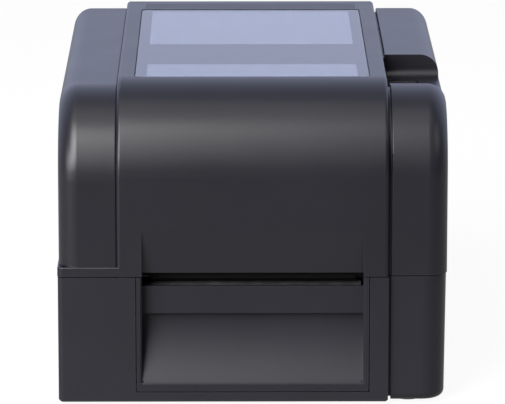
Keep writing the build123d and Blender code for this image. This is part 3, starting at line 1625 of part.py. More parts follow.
spring_height = spring_bar_low - bracket_top
spring_y = (spring_bar_front + spring_bar_rear) / 2
with BuildPart() as head_springs:
    for side in (-1, 1):
        foot_plane = Plane(origin=(side * spring_x, spring_y, bracket_top))
        add(coil(foot_plane, spring_radius, spring_wire, spring_height, spring_turns))
finish(head_springs, "head_springs")

# lid release tabs with their guide pins, noses and springs
latch_y = (latch_front_y + latch_rear_y) / 2
latch_z = (latch_low_z + latch_high_z) / 2


def release_tab(outer, side):
    # a push tab in a cheek's side: face, inner flange, guide pin and hanging nose
    face_x = outer - latch_out_gap
    back_x = face_x - latch_thick
    flange_x = outer - wall - latch_out_gap
    inner_x = flange_x - latch_flange
    with BuildPart() as tab:
        with BuildSketch(Plane.YZ.offset(flange_x)):
            with Locations((latch_y, latch_z)):
                RectangleRounded(latch_rear_y - latch_front_y, latch_high_z - latch_low_z, latch_corner)
        extrude(amount=face_x - flange_x)
        chamfer(tab.faces().sort_by(Axis.X)[-1].edges(), latch_out_gap)
        with BuildSketch(Plane.YZ.offset(inner_x)):
            with Locations((latch_y, latch_z)):
                RectangleRounded(
                    latch_rear_y - latch_front_y + 2 * latch_flange,
                    latch_high_z - latch_low_z + 2 * latch_flange, latch_corner + latch_flange
                )
        extrude(amount=latch_flange)
        rod_x(latch_y, latch_z, latch_guide_radius, inner_x - latch_guide_length, inner_x)
        block(
            inner_x - latch_arm_thick, inner_x, latch_y - latch_arm_half, latch_y + latch_arm_half,
            seam_height - latch_nose_drop, latch_z - latch_seat_half - latch_arm_thick
        )
    placed = tab.part
    if side < 0:
        placed = tab.part.rotate(Axis((0, latch_y, 0), (0, 0, 1)), 180)
    with BuildPart() as tab_side:
        add(placed)
    return tab_side


def tab_spring(outer, side):
    # the coil between a tab's flange and the bridge
    start_x = outer - wall - latch_bridge_depth + latch_seat_thick
    end_x = outer - wall - latch_out_gap - latch_flange
    plane = Plane(origin=(side * start_x, latch_y, latch_z), z_dir=(side, 0, 0))
    with BuildPart() as spring_side:
        add(coil(plane, latch_spring_radius, spring_wire, end_x - start_x, latch_spring_turns))
    return spring_side


finish(release_tab(left_outer, -1), "release_tab_left")
finish(release_tab(half_width, 1), "release_tab_right")
finish(tab_spring(left_outer, -1), "tab_spring_left")
finish(tab_spring(half_width, 1), "tab_spring_right")

# feed key, its board and the status lens
with BuildPart() as feed_key:
    with BuildSketch(Plane.XY.offset(scoop_under - part_gap)):
        with Locations((key_centre_x, key_centre_y)):
            RectangleRounded(key_high_x - key_low_x, key_rear_y - key_front_y, key_corner)
    extrude(amount=wall + part_gap - key_sink)
    fillet(feed_key.faces().sort_by(Axis.Z)[-1].edges(), key_edge_round)
    with BuildSketch(Plane.XY.offset(scoop_under - part_gap - key_flange)):
        with Locations((key_centre_x, key_centre_y)):
            RectangleRounded(
                key_high_x - key_low_x + 2 * key_flange, key_rear_y - key_front_y + 2 * key_flange,
                key_corner + key_flange
            )
    extrude(amount=key_flange)
    block(
        key_centre_x - key_stem_half, key_centre_x + key_stem_half,
        key_centre_y - key_stem_half, key_centre_y + key_stem_half,
        key_board_top + key_switch_height + key_travel + part_gap, scoop_under - part_gap
    )
finish(feed_key, "feed_key")

with BuildPart() as key_board:
    block(
        key_centre_x - key_post_x - 2 * key_post_radius, key_centre_x + key_post_x + 2 * key_post_radius,
        key_centre_y - key_post_y - 2 * key_post_radius, key_centre_y + key_post_y + 2 * key_post_radius,
        key_board_top - key_board_thick, key_board_top
    )
    block(
        key_centre_x - key_switch_half, key_centre_x + key_switch_half,
        key_centre_y - key_switch_half, key_centre_y + key_switch_half,
        key_board_top, key_board_top + key_switch_height
    )
finish(key_board, "key_board")

with BuildPart() as status_lens:
    block(
        key_centre_x - lens_half, key_centre_x + lens_half, lens_front_y, lens_rear_y,
        scoop_under, scoop_floor_height
    )
    block(
        key_centre_x - lens_half - key_flange, key_centre_x + lens_half + key_flange,
        lens_front_y - key_flange, lens_rear_y + key_flange, scoop_under - lens_thick, scoop_under
    )
finish(status_lens, "status_lens")

# main board and the parts soldered on it
with BuildPart() as main_board:
    block(board_left, board_right, board_front, board_rear, board_low, board_top)
    for x, y in board_post_places:
        rod_z(x, y, screw_radius + screw_clearance, board_low - cut_over, board_top + cut_over, Mode.SUBTRACT)
    # notches round the chassis posts
    for x, y in post_places:
        rod_z(x, y, chassis_post_radius + part_gap, board_low - cut_over, board_top + cut_over, Mode.SUBTRACT)
        board_edge = board_right + cut_over if x > 0 else board_left - cut_over
        block(
            min(x, board_edge), max(x, board_edge),
            y - chassis_post_radius - part_gap, y + chassis_post_radius + part_gap,
            board_low - cut_over, board_top + cut_over, Mode.SUBTRACT
        )
finish(main_board, "main_board")

with BuildPart() as board_parts:
    for x, half in (
        (chip_main_x, chip_main_half), (chip_memory_x, chip_memory_half), (chip_driver_x, chip_driver_half)
    ):
        block(x - half, x + half, chip_rows_y - half, chip_rows_y + half, board_top, board_top + chip_height)
    for y in (can_front_y, can_rear_y):
        rod_z(can_x, y, can_radius, board_top, board_top + can_height)
    block(
        -header_half_x, header_half_x, header_y - header_half_y, header_y + header_half_y,
        board_top, board_top + header_height
    )
finish(board_parts, "board_parts")


def socket_body(x, half, height):
    # the outer block of a socket that stands on the board and looks out of the rear wall
    block(
        x - half, x + half, rear_y - port_set_back - port_depth, rear_y - port_set_back,
        board_top, board_top + height
    )


port_face = rear_y - port_set_back
with BuildPart() as power_inlet:
    socket_body(inlet_x, inlet_half, inlet_height)
    inlet_z = board_top + inlet_height / 2
    with BuildSketch(Plane.XZ.offset(-port_face - cut_over)) as inlet_bore:
        with Locations((inlet_x, inlet_z)):
            Circle(inlet_bore_radius)
    extrude(inlet_bore.sketch, amount=port_cavity_depth + cut_over, mode=Mode.SUBTRACT)
    with BuildSketch(Plane.XZ.offset(-port_face + inlet_pin_back)) as inlet_pin:
        with Locations((inlet_x, inlet_z)):
            Circle(inlet_pin_radius)
    extrude(inlet_pin.sketch, amount=port_cavity_depth)
finish(power_inlet, "power_inlet")

with BuildPart() as usb_port:
    socket_body(usb_x, usb_half, usb_height)
    usb_low = board_top + (usb_height - usb_cavity_height) / 2
    block(
        usb_x - usb_cavity_half, usb_x + usb_cavity_half, port_face - port_cavity_depth, port_face + cut_over,
        usb_low, usb_low + usb_cavity_height, Mode.SUBTRACT
    )
    tongue_low = usb_low + (usb_cavity_height - usb_tongue_height) / 2
    block(
        usb_x - usb_tongue_half, usb_x + usb_tongue_half,
        port_face - port_cavity_depth - wall / 2, port_face - inlet_pin_back,
        tongue_low, tongue_low + usb_tongue_height
    )
finish(usb_port, "usb_port")

with BuildPart() as network_port:
    socket_body(network_x, network_half, network_height)
    network_low = board_top + (network_height - network_cavity_height) / 2
    block(
        network_x - network_cavity_half, network_x + network_cavity_half,
        port_face - port_cavity_depth, port_face + cut_over,
        network_low, network_low + network_cavity_height, Mode.SUBTRACT
    )
    block(
        network_x - usb_tongue_half, network_x + usb_tongue_half,
        port_face - port_cavity_depth, port_face + cut_over,
        network_low - wall / 2, network_low + cut_over, Mode.SUBTRACT
    )
finish(network_port, "network_port")

with BuildPart() as serial_port:
    socket_body(serial_x, serial_half, serial_height)
    serial_z = board_top + serial_height / 2
    serial_open = serial_shell_half - serial_shell_wall
    serial_open_height = serial_shell_height - 2 * serial_shell_wall
    block(
        serial_x - serial_open, serial_x + serial_open, port_face - serial_shell_out, port_face + cut_over,
        serial_z - serial_open_height / 2, serial_z + serial_open_height / 2, Mode.SUBTRACT
    )
    nut_x = (serial_half + serial_shell_half) / 2
    for side in (-1, 1):
        with BuildSketch(Plane.XZ.offset(-port_face - cut_over)) as nut_bore:
            with Locations((serial_x + side * nut_x, serial_z)):
                Circle(serial_nut_radius)
        extrude(nut_bore.sketch, amount=serial_shell_out, mode=Mode.SUBTRACT)
    for row, count in ((1, serial_top_pin_count), (-1, serial_low_pin_count)):
        for pin in range(count):
            pin_x = serial_x + (pin - (count - 1) / 2) * serial_pin_pitch
            pin_z = serial_z + row * serial_pin_pitch / 2
            with BuildSketch(Plane.XZ.offset(-port_face + inlet_pin_back)) as pin_round:
                with Locations((pin_x, pin_z)):
                    Circle(serial_pin_radius)
            extrude(pin_round.sketch, amount=serial_shell_out)
finish(serial_port, "serial_port")

# power switch: housing in the rear wall and the rocker in it
switch_face = rear_y - switch_face_drop
rocker_pivot_y = switch_face - rocker_pivot_y_drop
with BuildPart() as switch_housing:
    block(
        switch_x - rocker_half_x - switch_wall, switch_x + rocker_half_x + switch_wall,
        switch_face - switch_body_depth, switch_face,
        switch_z - rocker_half_z - switch_wall, switch_z + rocker_half_z + switch_wall
    )
    block(
        switch_x - rocker_half_x, switch_x + rocker_half_x,
        rocker_pivot_y - rocker_edge_rise, switch_face + cut_over,
        switch_z - rocker_half_z, switch_z + rocker_half_z, Mode.SUBTRACT
    )
    rod_x(
        rocker_pivot_y, switch_z, rocker_pivot_radius + bearing_gap,
        switch_x - rocker_half_x - rocker_pivot_length, switch_x + rocker_half_x + rocker_pivot_length,
        Mode.SUBTRACT
    )
    for end in (-1, 1):
        terminal_z = switch_z + end * rocker_half_z / 2
        block(
            switch_x - switch_terminal_half, switch_x + switch_terminal_half,
            switch_face - switch_body_depth - switch_terminal_length, switch_face - switch_body_depth,
            terminal_z - switch_wall / 2, terminal_z + switch_wall / 2
        )
finish(switch_housing, "switch_housing")

rocker_end = rocker_half_z - 2 * rocker_gap
rocker_shape = [
    (rocker_crown, 0),
    (rocker_edge_rise, rocker_end),
    (0, rocker_end),
    (-rocker_back, rocker_crown),
    (-rocker_back, -rocker_crown),
    (0, -rocker_end),
    (rocker_edge_rise, -rocker_end),
]
with BuildPart() as power_rocker:
    plate_x(
        turned(rocker_shape, (rocker_pivot_y, switch_z), rocker_rest_tilt),
        switch_x - rocker_half_x + rocker_gap, switch_x + rocker_half_x - rocker_gap
    )
    rod_x(
        rocker_pivot_y, switch_z, rocker_pivot_radius,
        switch_x - rocker_half_x - rocker_pivot_length + rocker_gap,
        switch_x + rocker_half_x + rocker_pivot_length - rocker_gap
    )
finish(power_rocker, "power_rocker")

# hinge pins through the case's lugs into the lid's barrel
with BuildPart() as hinge_pins:
    for side in (-1, 1):
        pin_a = side * (band_half - part_gap)
        pin_b = side * (band_half - part_gap - hinge_pin_length)
        rod_x(hinge_y, hinge_z, hinge_pin_radius, min(pin_a, pin_b), max(pin_a, pin_b))
finish(hinge_pins, "hinge_pins")


def screw_up(x, y, seat_z, length, side):
    # a headed screw along Z: the head stands on one side of its seat, the shank on the other
    head_a = seat_z - side * screw_head_height
    rod_z(x, y, screw_head_radius, min(seat_z, head_a), max(seat_z, head_a))
    shank_b = seat_z + side * length
    rod_z(x, y, screw_radius, min(seat_z, shank_b), max(seat_z, shank_b))
    socket_b = head_a + side * screw_slot_depth
    with BuildSketch(Plane.XY.offset(min(head_a, socket_b))) as socket:
        with Locations((x, y)):
            RegularPolygon(screw_slot_radius, screw_socket_sides)
    extrude(socket.sketch, amount=screw_slot_depth, mode=Mode.SUBTRACT)


def screw_along(y, z, seat_x, length, side):
    # a headed screw along X, its shank towards the given side
    head_a = seat_x - side * screw_head_height
    rod_x(y, z, screw_head_radius, min(seat_x, head_a), max(seat_x, head_a))
    shank_b = seat_x + side * length
    rod_x(y, z, screw_radius, min(seat_x, shank_b), max(seat_x, shank_b))
    socket_b = head_a + side * screw_slot_depth
    with BuildSketch(Plane.YZ.offset(min(head_a, socket_b))) as socket:
        with Locations((y, z)):
            RegularPolygon(screw_slot_radius, screw_socket_sides)
    extrude(socket.sketch, amount=screw_slot_depth, mode=Mode.SUBTRACT)


with BuildPart() as case_screws:
    for x, y in post_places:
        screw_up(x, y, case_low + wall / 2, case_screw_length, 1)
finish(case_screws, "case_screws")

with BuildPart() as board_screws:
    for x, y in board_post_places:
        screw_up(x, y, board_top, board_screw_length, -1)
finish(board_screws, "board_screws")

with BuildPart() as side_screws:
    for y, z in side_boss_places:
        screw_along(y, z, right_wall_inner, side_screw_length, 1)
finish(side_screws, "side_screws")

with BuildPart() as motor_screws:
    for y, z in motor_screw_places:
        screw_along(y, z, right_wall_outer, motor_screw_length, -1)
finish(motor_screws, "motor_screws")

with BuildPart() as lid_screws:
    for y, z in lid_screw_places:
        for side in (-1, 1):
            screw_along(y, z, side * (band_half - wall), lid_screw_length, side)
finish(lid_screws, "lid_screws")
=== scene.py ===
import math
import bpy
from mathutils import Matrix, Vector


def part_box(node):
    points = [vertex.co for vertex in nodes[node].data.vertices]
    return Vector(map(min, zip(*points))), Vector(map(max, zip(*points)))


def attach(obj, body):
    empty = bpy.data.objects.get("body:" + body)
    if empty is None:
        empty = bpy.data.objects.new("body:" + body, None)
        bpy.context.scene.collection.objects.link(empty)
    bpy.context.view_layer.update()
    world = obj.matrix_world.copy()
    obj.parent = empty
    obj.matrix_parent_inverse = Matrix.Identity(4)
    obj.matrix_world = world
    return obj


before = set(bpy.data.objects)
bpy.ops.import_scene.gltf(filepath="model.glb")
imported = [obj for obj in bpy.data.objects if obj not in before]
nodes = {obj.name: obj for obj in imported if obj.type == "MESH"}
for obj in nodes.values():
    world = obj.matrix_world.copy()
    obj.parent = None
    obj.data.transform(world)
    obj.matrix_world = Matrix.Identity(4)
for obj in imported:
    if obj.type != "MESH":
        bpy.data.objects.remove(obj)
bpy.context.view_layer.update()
print("frame loaded:", len(nodes), "nodes")

# camera: a long lens in front and a little above
cameraSetup = {
    "tilt": 12.307,  # degrees, as the turn is
    "turn": -0.295,
    "distance": 2.3012,
    "target": (-0.000081, -0.140, 0.110),
    "lens": 315.72,  # millimetres, as the sensor is
    "sensor": 36.0,
    "clipEnd": 20,
}
tilt = math.radians(cameraSetup["tilt"])
turn = math.radians(cameraSetup["turn"])
back = Vector((math.sin(turn) * math.cos(tilt), -math.cos(turn) * math.cos(tilt), math.sin(tilt)))
cameraData = bpy.data.cameras.new("photoCamera")
cameraData.lens = cameraSetup["lens"]
cameraData.sensor_width = cameraSetup["sensor"]
cameraData.clip_end = cameraSetup["clipEnd"]
camera = bpy.data.objects.new("photoCamera", cameraData)
camera.location = Vector(cameraSetup["target"]) + back * cameraSetup["distance"]
camera.rotation_euler = back.to_track_quat("Z", "Y").to_euler()
bpy.context.collection.objects.link(camera)
bpy.context.scene.camera = camera
bpy.context.scene.view_settings.view_transform = "Standard"
print("camera placed")


def newMaterial(name):
    material = bpy.data.materials.new(name)
    material.use_nodes = True
    tree = material.node_tree
    tree.nodes.clear()
    output = tree.nodes.new("ShaderNodeOutputMaterial")
    shader = tree.nodes.new("ShaderNodeBsdfPrincipled")
    tree.links.new(shader.outputs["BSDF"], output.inputs["Surface"])
    return material, tree, shader


def addNoise(tree, size, detail=2.0, stretch=(1, 1, 1)):
    # noise on object coordinates, with grains about as long as size, in metres
    coords = tree.nodes.new("ShaderNodeTexCoord")
    place = tree.nodes.new("ShaderNodeMapping")
    place.inputs["Scale"].default_value = stretch
    noise = tree.nodes.new("ShaderNodeTexNoise")
    noise.inputs["Scale"].default_value = 1 / size
    noise.inputs["Detail"].default_value = detail
    tree.links.new(coords.outputs["Object"], place.inputs["Vector"])
    tree.links.new(place.outputs["Vector"], noise.inputs["Vector"])
    return noise.outputs["Fac"]


def spread(tree, value, low, high, fromLow=0.3, fromHigh=0.7):
    # a value that runs from fromLow to fromHigh, made to run from low to high
    ranged = tree.nodes.new("ShaderNodeMapRange")
    ranged.inputs["From Min"].default_value = fromLow
    ranged.inputs["From Max"].default_value = fromHigh
    ranged.inputs["To Min"].default_value = low
    ranged.inputs["To Max"].default_value = high
    tree.links.new(value, ranged.inputs["Value"])
    return ranged.outputs["Result"]


def addMath(tree, operation, first, second):
    worked = tree.nodes.new("ShaderNodeMath")
    worked.operation = operation
    tree.links.new(first, worked.inputs[0])
    tree.links.new(second, worked.inputs[1])
    return worked.outputs[0]


def blendColours(tree, factor, first, second):
    mixer = tree.nodes.new("ShaderNodeMix")
    mixer.data_type = "RGBA"
    tree.links.new(factor, mixer.inputs["Factor"])
    for socketName, colour in (("A", first), ("B", second)):
        target = [socket for socket in mixer.inputs if socket.name == socketName and socket.type == "RGBA"][0]
        if isinstance(colour, tuple):
            target.default_value = (*colour, 1)
        else:
            tree.links.new(colour, target)
    return [socket for socket in mixer.outputs if socket.type == "RGBA"][0]


def shade(tone, share):
    return tuple(min(1.0, part * share) for part in tone)


edgeSetup = {"samples": 4, "rubbedAt": 0.80, "openAt": 0.995}


def edgeWearAndHighlightMask(tree, radius, strength):
    # the strength on edges, where rubbed wear and painted highlight go, 0 on open faces
    geometry = tree.nodes.new("ShaderNodeNewGeometry")
    bevel = tree.nodes.new("ShaderNodeBevel")
    bevel.samples = edgeSetup["samples"]
    bevel.inputs["Radius"].default_value = radius
    dot = tree.nodes.new("ShaderNodeVectorMath")
    dot.operation = "DOT_PRODUCT"
    tree.links.new(geometry.outputs["Normal"], dot.inputs[0])
    tree.links.new(bevel.outputs["Normal"], dot.inputs[1])
    return spread(tree, dot.outputs["Value"], strength, 0.0, edgeSetup["rubbedAt"], edgeSetup["openAt"])


def addBump(tree, shader, height, distance, strength):
    bump = tree.nodes.new("ShaderNodeBump")
    bump.inputs["Distance"].default_value = distance
    bump.inputs["Strength"].default_value = strength
    tree.links.new(height, bump.inputs["Height"])
    tree.links.new(bump.outputs["Normal"], shader.inputs["Normal"])


mouldSetup = {
    "cloud": 0.045,  # length of the slow changes in tone
    "patch": 0.030,  # length of the slow changes in shine
    "detail": 3.0,
    "darkShare": 0.92,
    "lightShare": 1.08,
    "edge": 0.0007,
    "wear": 0.5,
    "roughSpan": 0.012,
    "bump": 0.6,
}


def mouldedPlastic(name, tone, worn, rough, ior=1.45, grain=0.0005, depth=0.00002):
    # spark-textured moulding: fine grain, faint flow marks and paler edges that are partly rubbed wear and
    # partly painted highlight
    material, tree, shader = newMaterial(name)
    cloud = spread(tree, addNoise(tree, mouldSetup["cloud"], mouldSetup["detail"]), 0.0, 1.0)
    dark = shade(tone, mouldSetup["darkShare"])
    light = shade(tone, mouldSetup["lightShare"])
    ground = blendColours(tree, cloud, dark, light)
    edge = edgeWearAndHighlightMask(tree, mouldSetup["edge"], mouldSetup["wear"])
    # paler colour on the edges: partly rubbed wear, partly a painted highlight along them
    tree.links.new(blendColours(tree, edge, ground, worn), shader.inputs["Base Color"])
    patch = addNoise(tree, mouldSetup["patch"], mouldSetup["detail"])
    shine = spread(tree, patch, rough - mouldSetup["roughSpan"], rough + mouldSetup["roughSpan"])
    tree.links.new(shine, shader.inputs["Roughness"])
    shader.inputs["IOR"].default_value = ior
    addBump(tree, shader, addNoise(tree, grain), depth, mouldSetup["bump"])
    return material


metalSetup = {
    "cloud": 0.012,
    "detail": 3.0,
    "darkShare": 0.88,
    "edge": 0.0003,
    "wear": 0.6,
    "brightShare": 1.25,
    "roughSpan": 0.08,
    "bump": 0.4,
}


def turnedMetal(name, tone, rough, streak, stretch=(1, 1, 1), depth=0.00001):
    # brushed, rolled or plated metal: long scratches, uneven shine and brighter edges, partly rubbed and
    # partly painted highlight
    material, tree, shader = newMaterial(name)
    scratch = addNoise(tree, streak, metalSetup["detail"], stretch)
    cloud = spread(tree, addNoise(tree, metalSetup["cloud"], metalSetup["detail"]), 0.0, 1.0)
    ground = blendColours(tree, cloud, shade(tone, metalSetup["darkShare"]), tone)
    edge = edgeWearAndHighlightMask(tree, metalSetup["edge"], metalSetup["wear"])
    bright = shade(tone, metalSetup["brightShare"])
    # brighter colour on the edges: partly rubbed, partly a painted highlight along them
    tree.links.new(blendColours(tree, edge, ground, bright), shader.inputs["Base Color"])
    shader.inputs["Metallic"].default_value = 1.0
    shine = spread(tree, scratch, rough - metalSetup["roughSpan"], rough + metalSetup["roughSpan"])
    tree.links.new(shine, shader.inputs["Roughness"])
    addBump(tree, shader, scratch, depth, metalSetup["bump"])
    return material


rubberSetup = {
    "dust": 0.006,
    "detail": 4.0,
    "dustRange": (0.4, 0.75),
    "dustyShare": 1.7,
    "dustyLift": 0.01,
    "roughSpan": 0.1,
    "grain": 0.0005,
    "depth": 0.00005,
    "bump": 0.6,
}


def softRubber(name, tone, rough):
    # dusty rubber with a ground surface
    material, tree, shader = newMaterial(name)
    cloud = addNoise(tree, rubberSetup["dust"], rubberSetup["detail"])
    dust = spread(tree, cloud, 0.0, 1.0, *rubberSetup["dustRange"])
    dusty = tuple(part * rubberSetup["dustyShare"] + rubberSetup["dustyLift"] for part in tone)
    tree.links.new(blendColours(tree, dust, tone, dusty), shader.inputs["Base Color"])
    shine = spread(tree, dust, rough, rough + rubberSetup["roughSpan"], 0, 1)
    tree.links.new(shine, shader.inputs["Roughness"])
    addBump(tree, shader, addNoise(tree, rubberSetup["grain"]), rubberSetup["depth"], rubberSetup["bump"])
    return material


windowSetup = {
    "wipe": 0.004,
    "wipeDetail": 3.0,
    "wipeStretch": (1, 0.08, 1),
    "haze": 0.05,
    "deepTint": (0.80, 0.83, 0.90),
    "paleTint": (0.86, 0.88, 0.93),
    "roughRange": (0.02, 0.05),
    "ior": 1.49,
    "depth": 0.00002,
    "bump": 0.15,
}


def clearWindow(name):
    # smoked clear acrylic with a few fine wipe marks
    material, tree, shader = newMaterial(name)
    wipe = addNoise(tree, windowSetup["wipe"], windowSetup["wipeDetail"], windowSetup["wipeStretch"])
    haze = spread(tree, addNoise(tree, windowSetup["haze"]), 0.0, 1.0)
    tint = blendColours(tree, haze, windowSetup["deepTint"], windowSetup["paleTint"])
    tree.links.new(tint, shader.inputs["Base Color"])
    tree.links.new(spread(tree, wipe, *windowSetup["roughRange"]), shader.inputs["Roughness"])
    shader.inputs["Transmission Weight"].default_value = 1.0
    shader.inputs["IOR"].default_value = windowSetup["ior"]
    addBump(tree, shader, haze, windowSetup["depth"], windowSetup["bump"])
    return material


coatSetup = {
    "speck": 0.0009,
    "speckRange": (0.35, 0.75),
    "paleShare": 1.5,
    "roughRange": (0.25, 0.32),
    "ior": 1.3,
    "grain": 0.0012,
    "depth": 0.00001,
    "bump": 0.3,
}


def glossCoat(name, tone):
    # a thin glossy coat, such as the black print on the underside of the window
    material, tree, shader = newMaterial(name)
    speck = spread(tree, addNoise(tree, coatSetup["speck"]), 0.0, 1.0, *coatSetup["speckRange"])
    pale = shade(tone, coatSetup["paleShare"])
    tree.links.new(blendColours(tree, speck, tone, pale), shader.inputs["Base Color"])
    tree.links.new(spread(tree, speck, *coatSetup["roughRange"], 0, 1), shader.inputs["Roughness"])
    shader.inputs["IOR"].default_value = coatSetup["ior"]
    addBump(tree, shader, addNoise(tree, coatSetup["grain"]), coatSetup["depth"], coatSetup["bump"])
    return material


boardSetup = {
    "mask": (0.012, 0.10, 0.045),
    "copper": (0.03, 0.20, 0.09),
    "scale": 90,
    "gap": 0.02,
    "traceLength": 1.4,
    "tracePitch": 0.12,
    "lowTrace": 0.15,
    "patch": 0.02,
    "roughRange": (0.28, 0.36),
    "depth": 0.00003,
    "bump": 0.4,
}


def boardMask(name):
    # solder mask over a routed copper layer
    material, tree, shader = newMaterial(name)
    coords = tree.nodes.new("ShaderNodeTexCoord")
    traces = tree.nodes.new("ShaderNodeTexBrick")
    traces.inputs["Scale"].default_value = boardSetup["scale"]
    traces.inputs["Mortar Size"].default_value = boardSetup["gap"]
    traces.inputs["Brick Width"].default_value = boardSetup["traceLength"]
    traces.inputs["Row Height"].default_value = boardSetup["tracePitch"]
    for socketName, level in (("Color1", 0), ("Color2", boardSetup["lowTrace"]), ("Mortar", 1)):
        traces.inputs[socketName].default_value = (level, level, level, 1)
    tree.links.new(coords.outputs["Object"], traces.inputs["Vector"])
    lift = spread(tree, traces.outputs["Color"], 0.0, 1.0, 0.0, 1.0)
    cover = blendColours(tree, lift, boardSetup["mask"], boardSetup["copper"])
    tree.links.new(cover, shader.inputs["Base Color"])
    shine = spread(tree, addNoise(tree, boardSetup["patch"]), *boardSetup["roughRange"])
    tree.links.new(shine, shader.inputs["Roughness"])
    addBump(tree, shader, lift, boardSetup["depth"], boardSetup["bump"])
    return material


plastics = {
    "lidPlastic": {
        "tone": (0.0112, 0.0108, 0.0150), "worn": (0.036, 0.036, 0.043), "rough": 0.35,
        "grain": 0.00045, "depth": 0.000018,
    },
    "casePlastic": {
        "tone": (0.0138, 0.0133, 0.0182), "worn": (0.038, 0.038, 0.045), "rough": 0.37, "ior": 1.40,
        "grain": 0.00045, "depth": 0.000022,
    },
    "bezelPlastic": {
        "tone": (0.0155, 0.0150, 0.0200), "worn": (0.040, 0.040, 0.047), "rough": 0.40, "ior": 1.33,
        "grain": 0.00045,
    },
    "keyPlastic": {"tone": (0.0270, 0.0265, 0.0320), "worn": (0.052, 0.052, 0.060), "rough": 0.32},
    "chassisPlastic": {"tone": (0.060, 0.060, 0.066), "worn": (0.11, 0.11, 0.115), "rough": 0.48},
    "holderPlastic": {"tone": (0.10, 0.14, 0.23), "worn": (0.19, 0.24, 0.34), "rough": 0.38},
    "hubPlastic": {"tone": (0.13, 0.13, 0.14), "worn": (0.22, 0.22, 0.23), "rough": 0.42},
    "gearPlastic": {"tone": (0.68, 0.66, 0.60), "worn": (0.80, 0.79, 0.75), "rough": 0.45},
    "bushPlastic": {"tone": (0.045, 0.045, 0.048), "worn": (0.10, 0.10, 0.10), "rough": 0.35},
    "switchPlastic": {"tone": (0.016, 0.016, 0.017), "worn": (0.05, 0.05, 0.05), "rough": 0.25},
    "chipPlastic": {"tone": (0.022, 0.022, 0.023), "worn": (0.06, 0.06, 0.06), "rough": 0.5},
    "portPlastic": {"tone": (0.018, 0.018, 0.019), "worn": (0.05, 0.05, 0.05), "rough": 0.45},
    # near-black head and bracket: partly their own dark finish, partly painted shade that keeps the print
    # slot looking dark
    "headBlack": {
        "tone": (0.0035, 0.0035, 0.0038), "worn": (0.008, 0.008, 0.008), "rough": 0.65, "ior": 1.22,
    },
    "lensPlastic": {"tone": (0.42, 0.46, 0.48), "worn": (0.60, 0.63, 0.65), "rough": 0.20},
    "chipCeramic": {
        "tone": (0.20, 0.15, 0.10), "worn": (0.5, 0.5, 0.48), "rough": 0.35,
        "grain": 0.0008, "depth": 0.00001,
    },
}
rubbers = {
    "footRubber": {"tone": (0.018, 0.018, 0.018), "rough": 0.75},
    "platenRubber": {"tone": (0.022, 0.022, 0.024), "rough": 0.55},
}
metals = {
    "turnedSteel": {"tone": (0.52, 0.52, 0.53), "rough": 0.28, "streak": 0.0004, "stretch": (0.05, 1, 1)},
    "sheetSteel": {"tone": (0.10, 0.10, 0.105), "rough": 0.42, "streak": 0.0005, "stretch": (0.04, 1, 1)},
    "springSteel": {"tone": (0.50, 0.50, 0.52), "rough": 0.22, "streak": 0.0006},
    "blackedSteel": {"tone": (0.12, 0.12, 0.125), "rough": 0.36, "streak": 0.0006},
    "portShell": {"tone": (0.62, 0.62, 0.60), "rough": 0.25, "streak": 0.0008, "stretch": (1, 1, 0.1)},
    "motorPaint": {"tone": (0.16, 0.16, 0.17), "rough": 0.42, "streak": 0.0008, "depth": 0.00002},
    "gold": {"tone": (0.83, 0.62, 0.26), "rough": 0.22, "streak": 0.0006},
    "solder": {"tone": (0.58, 0.58, 0.57), "rough": 0.30, "streak": 0.0008},
}
coats = {
    "maskInk": {"tone": (0.006, 0.006, 0.008)},
    "heaterGlaze": {"tone": (0.035, 0.020, 0.012)},
    "sealResin": {"tone": (0.014, 0.013, 0.012)},
}
makers = ((mouldedPlastic, plastics), (softRubber, rubbers), (turnedMetal, metals), (glossCoat, coats))
made = {}
for makeFinish, looks in makers:
    for finishName, look in looks.items():
        made[finishName] = makeFinish(finishName, **look)
made["windowClear"] = clearWindow("windowClear")
made["circuitBoard"] = boardMask("circuitBoard")
print("materials made:", len(made))

finishOfNode = {
    "lidPlastic": ["cover_frame", "left_cheek", "right_cheek"],
    "casePlastic": ["base_case", "right_side_cover"],
    "bezelPlastic": ["front_bezel"],
    "keyPlastic": ["feed_key", "release_tab_left", "release_tab_right"],
    "chassisPlastic": ["media_chassis", "ribbon_carriage"],
    "holderPlastic": ["right_holder", "left_holder", "gap_sensor"],
    "hubPlastic": ["supply_hub_left", "supply_hub_right", "rewind_hub_left", "rewind_hub_right"],
    "gearPlastic": [
        "platen_gear", "idler_gear", "motor_pinion", "rewind_gear", "ribbon_pinion", "holder_pinion",
    ],
    "bushPlastic": ["platen_bushes"],
    "switchPlastic": ["switch_housing", "power_rocker"],
    "chipPlastic": ["board_parts"],
    "portPlastic": ["power_inlet", "network_port"],
    "headBlack": ["thermal_head", "head_bracket"],
    "lensPlastic": ["status_lens"],
    "footRubber": ["rubber_feet"],
    "platenRubber": ["platen_sleeve"],
    "turnedSteel": ["platen_shaft", "idler_pin", "holder_pinion_pin", "head_rod", "hinge_pins"],
    "sheetSteel": ["tear_bar"],
    "springSteel": ["head_springs", "tab_spring_left", "tab_spring_right"],
    "blackedSteel": ["case_screws", "side_screws", "board_screws", "lid_screws", "motor_screws"],
    "portShell": ["usb_port", "serial_port"],
    "motorPaint": ["stepper_motor", "ribbon_motor"],
    "windowClear": ["window_panel"],
    "maskInk": ["window_mask"],
    "circuitBoard": ["main_board", "key_board"],
}
for finishName, nodeNames in finishOfNode.items():
    for nodeName in nodeNames:
        for materialSlot in nodes[nodeName].material_slots:
            materialSlot.material = made[finishName]
print("materials assigned")

# small repeated detail, grown with geometry nodes


